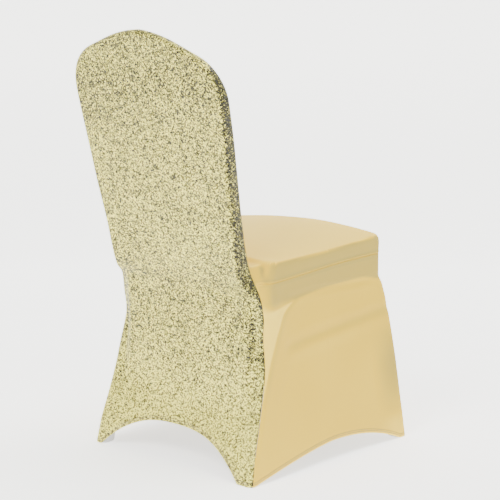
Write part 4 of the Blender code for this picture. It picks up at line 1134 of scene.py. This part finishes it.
# A cup of pocket cloth in a corner of the skirt
def pocket_cloth(name, side, to_rear, material):
    turn = np.linspace(0, 2 * np.pi, POCKET_STEPS, endpoint=False)
    across = np.sign(np.cos(turn)) * np.abs(np.cos(turn)) ** POCKET_SQUARE
    along = np.sign(np.sin(turn)) * np.abs(np.sin(turn)) ** POCKET_SQUARE
    half_column, y_column = (1, 2) if to_rear else (3, 4)
    inward = -1 if to_rear else 1
    bulge_share, bulge_turns, bulge_up = POCKET_BULGE
    rows = []
    outs = []
    for level, size in [(level, 1.0) for level in np.linspace(*POCKET_WALL)] + list(POCKET_FOOT):
        z = np.full(POCKET_STEPS, level * POCKET_TALL)
        hem = 1 - rise(z, HEM_DEPTH, SEAM_HEIGHTS[2])
        depth = CLOTH + (HEM_CLOTH - CLOTH) * hem + POCKET_GAP
        middle_x = side * (column(LEGS, z, half_column) - depth - POCKET_HALF)
        middle_y = column(LEGS, z, y_column) + inward * (depth + POCKET_HALF)
        bulge = 1 + bulge_share * np.sin(bulge_turns * turn + bulge_up * z + side)
        x = middle_x + across * POCKET_HALF * size * bulge
        y = middle_y + along * POCKET_HALF * size * bulge
        row = np.stack([x, y, z], axis=-1)
        for _ in range(POCKET_ROUNDS):
            over = np.maximum(form(row) + depth, 0)[:, None]
            row = row - outward(row) * np.array([1.0, 1.0, 0.0]) * over
        way = unit(row - row.mean(axis=0))
        down = 1 - rise(z, 0.0, POCKET_TURNED * POCKET_TALL)[:, None]
        rows.append(row)
        outs.append(unit(way * (1 - down) * size + np.array([0.0, 0.0, -1.0]) * down))
    rows = np.array(rows)
    outs = np.array(outs)
    edge = rolled(POCKET_TALL - rows[..., 2], POCKET_EDGE)
    hem_depth, hem_half, hem_rise = POCKET_HEM
    top_hem = hump(rows[..., 2] - (POCKET_TALL - hem_depth), hem_half) * hem_rise
    outer = rows - outs * (edge + top_hem)[..., None]
    inner = rows - outs * (CLOTH - edge)[..., None]
    index = np.arange(rows[..., 0].size).reshape(rows.shape[:-1])
    total = index.size
    loop = np.concatenate([index, index[:, :1]], axis=1)
    quads = grid_quads(loop)
    rim = np.stack([loop[0, 1:], loop[0, :-1], loop[0, :-1] + total, loop[0, 1:] + total], axis=-1)
    faces = [list(face) for face in np.concatenate([quads, quads[:, ::-1] + total, rim]).tolist()]
    faces.append(index[-1].tolist())
    faces.append((index[-1][::-1] + total).tolist())
    points = np.concatenate([outer.reshape(-1, 3), inner.reshape(-1, 3)]) + TO_FRAME
    points[:, 2] = np.maximum(points[:, 2], 0.0)
    return mesh_object(name, points.tolist(), faces, material)


STITCH_PITCH = 0.0032
STITCH_SHARE = 0.72
STITCH_RADIUS = 0.00032
STITCH_HEIGHTS = np.array([-0.0003, 0.00005, 0.00005, -0.0003])      # from its start to its end
THREAD_SIDES = 6
THREAD_PINCH = 0.35
LOOSE_RADIUS = 0.00022
LOOSE_STEPS = 9
LOOSE_SEED = 7
LOOSE_SHIFT = 0.004       # the right side's loose ends are higher by this


# Tube points and faces along a line of points, pinched at its ends
def thread_tube(line, outs, radius, first):
    way = unit(np.gradient(line, axis=0))
    aside = unit(np.cross(way, outs))
    up = np.cross(aside, way)
    size = np.full(len(line), radius)
    size[0] = size[-1] = radius * THREAD_PINCH
    turn = np.linspace(0, 2 * np.pi, THREAD_SIDES, endpoint=False)
    circle = aside[:, None] * np.cos(turn)[None, :, None] + up[:, None] * np.sin(turn)[None, :, None]
    points = (line[:, None] + circle * size[:, None, None]).reshape(-1, 3)
    faces = []
    for i in range(len(line) - 1):
        for j in range(THREAD_SIDES):
            k = (j + 1) % THREAD_SIDES
            base = first + i * THREAD_SIDES
            faces.append((base + j, base + k, base + THREAD_SIDES + k, base + THREAD_SIDES + j))
    faces.append(tuple(first + j for j in reversed(range(THREAD_SIDES))))
    last = first + (len(line) - 1) * THREAD_SIDES
    faces.append(tuple(last + j for j in range(THREAD_SIDES)))
    return points, faces


def threads_object(name, tubes, material):
    points = []
    faces = []
    count = 0
    for line, outs, radius in tubes:
        more, more_faces = thread_tube(line, outs, radius, count)
        points.append(more)
        faces.extend(more_faces)
        count += len(more)
    return mesh_object(name, (np.concatenate(points) + TO_FRAME).tolist(), faces, material)


# Short stitches along a line on the cloth
def stitches(line, outs):
    length = run(line)
    tubes = []
    for k in range(int(length[-1] / STITCH_PITCH)):
        at = k * STITCH_PITCH + STITCH_PITCH * STITCH_SHARE * np.linspace(0, 1, len(STITCH_HEIGHTS))
        points = np.stack([np.interp(at, length, line[:, axis]) for axis in range(3)], axis=-1)
        ways = np.stack([np.interp(at, length, outs[:, axis]) for axis in range(3)], axis=-1)
        tubes.append((points + ways * STITCH_HEIGHTS[:, None], ways, STITCH_RADIUS))
    return tubes


def skirt_stitching(material):
    tubes = []
    for line in STITCH_LINES:
        row = skirt_grid(np.array([line, line + 0.001]))[0]
        tubes.extend(stitches(row, through_cloth(row)))
    return threads_object("skirt_stitching", tubes, material)


def back_stitching(material):
    tubes = []
    for line in STITCH_LINES:
        row = rear_hem(np.linspace(-STITCHED_HALF, STITCHED_HALF, STITCHED_STEPS), line)
        row = reach(row, (0, -1, 0))
        tubes.extend(stitches(row, through_cloth(row)))
    return threads_object("back_stitching", tubes, material)


# Loose thread ends along the seam: height, length, way forwards, lift
LOOSE_THREADS = (
    (0.072, 0.011, 0.5, 0.4), (0.078, 0.008, -0.6, 0.7), (0.081, 0.013, 0.8, 0.3), (0.086, 0.007, -0.4, 0.6),
    (0.046, 0.006, -0.7, 0.5), (0.038, 0.007, 0.5, 0.5), (0.030, 0.005, -0.5, 0.6), (0.022, 0.006, 0.6, 0.4),
    (0.120, 0.005, 0.5, 0.6), (0.168, 0.004, -0.5, 0.6), (0.231, 0.005, 0.4, 0.5), (0.315, 0.004, -0.4, 0.7),
)


def loose_threads(material):
    chance = random.Random(LOOSE_SEED)
    tubes = []
    for side in (-1, 1):
        for height, length, forward, lift in LOOSE_THREADS:
            start = side_seam([height + (LOOSE_SHIFT if side > 0 else 0.0)])[0]
            start[0] *= -side
            out = outward(start[None])[0]
            t = np.linspace(0, 1, LOOSE_STEPS)[:, None]
            way = unit(np.array([0.0, -forward, chance.uniform(-0.7, 0.5)]))
            curl = np.array([0.0, chance.uniform(-0.5, 0.5), chance.uniform(-0.8, 0.2)])
            line = start + (way * t + curl * t**2 * 0.5 + out * lift * t * (1.2 - t)) * length
            tubes.append((line, np.repeat(out[None], LOOSE_STEPS, axis=0), LOOSE_RADIUS))
    return threads_object("loose_threads", tubes, material)


# Links another socket to a slot, or sets the slot's value
def feed(tree, slot, value):
    if isinstance(value, Socket):
        tree.links.new(value.socket, slot)
    else:
        slot.default_value = value


# Adds a node. Its settings come first, then the values or links of its sockets. A ramp's stops are
# (value, (red, green, blue)).
def add_node(tree, kind, settings, sockets):
    node = tree.nodes.new(kind)
    for key, value in settings.items():
        if key != "stops":
            setattr(node, key, value)
            continue
        for k, (at, shade) in enumerate(value):
            stop = node.color_ramp.elements[k] if k < 2 else node.color_ramp.elements.new(at)
            stop.position = at
            stop.color = (*shade, 1.0)
    for key, value in sockets.items():
        feed(tree, node.inputs[key], value)
    return [Socket(tree, out) for out in node.outputs]


# A socket of a material's node tree, with arithmetic
class Socket:
    def __init__(self, tree, socket):
        self.tree = tree
        self.socket = socket

    # This value, and any others, through one operation
    def math(self, operation, *others):
        values = dict(enumerate((self,) + others))
        return add_node(self.tree, "ShaderNodeMath", {"operation": operation}, values)[0]

    def __add__(self, other):
        return self.math("ADD", other)

    __radd__ = __add__

    def __mul__(self, other):
        return self.math("MULTIPLY", other)

    __rmul__ = __mul__

    def __sub__(self, other):
        return self.math("SUBTRACT", other)

    def __rsub__(self, other):
        return (self * -1.0) + other

    def clamp(self):
        return self.math("MAXIMUM", 0.0).math("MINIMUM", 1.0)


# A material and its one shader
class Finish:
    def __init__(self, name):
        self.material = bpy.data.materials.new(name)
        self.material.use_nodes = True
        self.tree = self.material.node_tree
        self.shader = self.tree.nodes["Principled BSDF"]

    def node(self, kind, settings=None, sockets=None, output=0):
        return add_node(self.tree, kind, settings or {}, sockets or {})[output]

    def mix(self, factor, first, second):
        return self.node("ShaderNodeMix", {"data_type": "RGBA"}, {0: factor, 6: first, 7: second}, output=2)

    def ramp(self, value, stops):
        return self.node("ShaderNodeValToRGB", {"stops": stops}, {0: value})

    def noise(self, at, scale, detail=2.0, rough=0.5):
        sockets = {"Vector": at, "Scale": scale, "Detail": detail, "Roughness": rough}
        return self.node("ShaderNodeTexNoise", sockets=sockets)

    # The shade that each point of a sheet has, most of it painted light and shade
    def shade(self):
        return self.node("ShaderNodeAttribute", {"attribute_name": "shade"}, output=2)

    def place(self):
        return self.node("ShaderNodeTexCoord", output=3)

    # The parts of a colour or of a position
    def parts(self, kind, whole):
        return add_node(self.tree, kind, {}, {0: whole})

    def set(self, **values):
        for name, value in values.items():
            feed(self.tree, self.shader.inputs[name.replace("_", " ")], value)

    def bump(self, height, strength, distance):
        sockets = {"Height": height, "Strength": strength, "Distance": distance}
        self.set(Normal=self.node("ShaderNodeBump", sockets=sockets))


# A colour given as on a screen
def colour(red, green, blue):
    parts = [part / 255 for part in (red, green, blue)]
    return (*(p / 12.92 if p < 0.04045 else ((p + 0.055) / 1.055) ** 2.4 for p in parts), 1.0)


# Position, as the knit's two directions: across the ribs and along them
def knit_axes(finish, place):
    x, y, z = finish.parts("ShaderNodeSeparateXYZ", place)
    return x + y, z + y * 0.7


def knit_height(finish, place, rib, loop):
    across, along = knit_axes(finish, place)
    ribs = (across * (2 * np.pi / rib)).math("SINE")
    loops = (along * (2 * np.pi / loop)).math("SINE")
    return ribs * 0.6 + ribs * loops * 0.4


# Plain stretch knit: even champagne, fine ribs, soft sheen that lightens it at a slant
def plain_knit(name):
    finish = Finish(name)
    place = finish.place()
    broad = finish.noise(place, 5.0, 2.0)
    fine = finish.noise(place, 260.0, 3.0, 0.6)
    # The points' shade brings in painted light and shade; the noise is the knit's own uneven tone
    tone_and_painted_light = (finish.shade() + (broad - 0.5) * 0.16 + (fine - 0.5) * 0.06).clamp()
    stops = (
        (0.0, (0.380, 0.280, 0.048)),
        (0.45, (0.680, 0.442, 0.022)),
        (1.0, (0.990, 0.720, 0.090)),
    )
    finish.set(
        Base_Color=finish.ramp(tone_and_painted_light, stops),
        Roughness=(fine - 0.5) * 0.16 + 0.62,
        Sheen_Weight=0.12,
        Sheen_Roughness=0.35,
        Sheen_Tint=(1.0, 0.93, 0.80, 1.0),
        Specular_IOR_Level=0.22,
    )
    finish.bump(knit_height(finish, place, 0.0009, 0.0011) + fine * 0.6, 0.22, 0.0003)
    return finish.material


# Flakes in a metre, of two layers
FLAKE_SCALES = (560.0, 360.0)


# Glitter knit: small flakes of foil yarn, each with its own shade, tilt and gloss
def glitter_knit(name):
    finish = Finish(name)
    place = finish.place()
    flake, speck = (
        finish.node("ShaderNodeTexVoronoi", sockets={"Vector": place, "Scale": scale}, output=1)
        for scale in FLAKE_SCALES
    )
    first, second, third = finish.parts("ShaderNodeSeparateColor", flake)
    coarse = finish.parts("ShaderNodeSeparateColor", speck)[0]
    broad = finish.noise(place, 7.0, 3.0)
    # The points' shade brings painted light and shade into the flakes
    shade = first * 0.46 + coarse * 0.54 + (finish.shade() - 0.5)
    stops = (
        (0.27, (0.014, 0.013, 0.005)),
        (0.43, (0.090, 0.083, 0.021)),
        (0.54, (0.420, 0.370, 0.070)),
        (0.65, (1.000, 0.910, 0.170)),
    )
    finish.set(
        Base_Color=finish.ramp((shade + (broad - 0.5) * 0.18).clamp(), stops),
        Metallic=second.math("GREATER_THAN", 0.55) * 0.75,
        Roughness=third * 0.30 + 0.28,
        Sheen_Weight=0.06,
        Sheen_Roughness=0.5,
        Sheen_Tint=(1.0, 0.94, 0.66, 1.0),
    )
    finish.bump(first + coarse * 0.8, 0.70, 0.0008)
    return finish.material


def woven_pocket(name):
    finish = Finish(name)
    place = finish.place()
    fine = finish.noise(place, 300.0, 3.0)
    finish.set(
        Base_Color=finish.mix(fine, colour(190, 190, 190), colour(238, 237, 234)),
        Roughness=0.75,
        Sheen_Weight=0.1,
    )
    finish.bump(knit_height(finish, place, 0.0014, 0.0014), 0.4, 0.0004)
    return finish.material


def thread_finish(name, shade):
    finish = Finish(name)
    place = finish.place()
    fine = finish.noise(place, 900.0, 2.0)
    lighter = tuple(min(255, c + 14) for c in shade)
    darker = tuple(c - 14 for c in shade)
    shades = finish.mix(fine, colour(*darker), colour(*lighter))
    finish.set(Base_Color=shades, Roughness=0.5, Sheen_Weight=0.2)
    return finish.material


def studio_paper(name):
    finish = Finish(name)
    place = finish.place()
    fine = finish.noise(place, 1.3, 2.0)
    behind = finish.node("ShaderNodeNewGeometry", output=6)
    finish.set(
        Alpha=1.0 - behind,
        Base_Color=finish.mix(fine, colour(240, 240, 238), colour(248, 248, 246)),
        Roughness=0.9,
        Emission_Color=(1.0, 1.0, 0.97, 1.0),
        Emission_Strength=1.7,
    )
    return finish.material


# Backdrop: its bend's radius and steps, places along the way that the camera looks, height, half width
PAPER_BEND = 0.6
PAPER_TURNS = 24
PAPER_WALL = -2.3
PAPER_FLOOR = 0.5
PAPER_FRONT = 4.5
PAPER_TALL = 3.4
PAPER_HALF = 4.0


# Floor and backdrop in one sheet with a soft bend, clear where it is seen from its back
def studio(material):
    turns = np.linspace(0, np.pi / 2, PAPER_TURNS)
    profile = [(PAPER_FRONT, 0.0), (PAPER_FLOOR, 0.0), (PAPER_WALL + PAPER_BEND, 0.0)]
    for t in turns[1:]:
        profile.append((PAPER_WALL + PAPER_BEND * (1 - np.sin(t)), PAPER_BEND * (1 - np.cos(t))))
    profile.append((PAPER_WALL, PAPER_TALL))
    way = np.array(CAMERA_WAY[:2]) / np.hypot(*CAMERA_WAY[:2])
    points = []
    for along, up in profile:
        for aside in (-PAPER_HALF, PAPER_HALF):
            at = -along * way + aside * np.array([-way[1], way[0]])
            points.append((at[0], at[1], up))
    faces = [(2 * k, 2 * k + 2, 2 * k + 3, 2 * k + 1) for k in range(len(profile) - 1)]
    return mesh_object("studio_floor", points, faces, material)


def photo_camera():
    data = bpy.data.cameras.new("camera")
    data.lens = CAMERA_LENS
    data.sensor_width = 36.0
    data.clip_end = 50.0
    camera = bpy.data.objects.new("camera", data)
    bpy.context.scene.collection.objects.link(camera)
    camera.location = CAMERA_AT
    camera.rotation_euler = Vector(CAMERA_WAY).to_track_quat("-Z", "Y").to_euler()
    bpy.context.scene.camera = camera


LIGHTS_AIM = (0.0, 0.0, 0.45)
# Lights: name, place, size, power, colour
LIGHTS = (
    ("key_softbox", (-0.6, 3.0, 3.4), 1.7, 174.0, (1.0, 0.985, 0.955)),
    ("side_softbox", (-3.6, 1.2, 1.9), 1.6, 38.0, (1.0, 0.985, 0.955)),
    ("top_softbox", (-0.9, -0.6, 3.4), 2.0, 110.0, (1.0, 1.0, 1.0)),
)


def studio_lights():
    for name, place, size, power, tint in LIGHTS:
        data = bpy.data.lights.new(name, "AREA")
        data.shape = "DISK"
        data.size = size
        data.energy = power
        data.color = tint
        lamp = bpy.data.objects.new(name, data)
        bpy.context.scene.collection.objects.link(lamp)
        lamp.location = place
        lamp.rotation_euler = (Vector(LIGHTS_AIM) - Vector(place)).to_track_quat("-Z", "Y").to_euler()
    world = bpy.data.worlds.new("studio_world")
    bpy.context.scene.world = world
    world.use_nodes = True
    background = world.node_tree.nodes["Background"]
    background.inputs["Color"].default_value = (0.97, 0.98, 1.0, 1.0)
    background.inputs["Strength"].default_value = 0.78


def declare(piece, node):
    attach(piece, "root")
    if node:
        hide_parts(node)


def main():
    photo_camera()
    studio_lights()
    floor = studio(studio_paper("studio_paper"))
    glitter = glitter_knit("glitter_knit")
    plain = plain_knit("plain_knit")
    grey = woven_pocket("pocket_weave")
    gold_thread = thread_finish("gold_thread", (206, 190, 140))
    plain_thread = thread_finish("plain_thread", (196, 168, 112))

    back = glitter_back(glitter)
    seat = seat_cloth(plain)
    skirt = skirt_cloth(plain)
    back_threads = back_stitching(gold_thread)
    skirt_threads = skirt_stitching(plain_thread)
    loose = loose_threads(gold_thread)
    declare(back, "back_panel")
    declare(seat, "seat_panel")
    declare(skirt, "skirt")
    declare(back_threads, None)
    declare(skirt_threads, None)
    declare(loose, None)
    for node, side, to_rear in FEET:
        pocket = pocket_cloth(node.replace("foot_pocket", "pocket_cloth"), side, to_rear, grey)
        declare(pocket, node)


main()
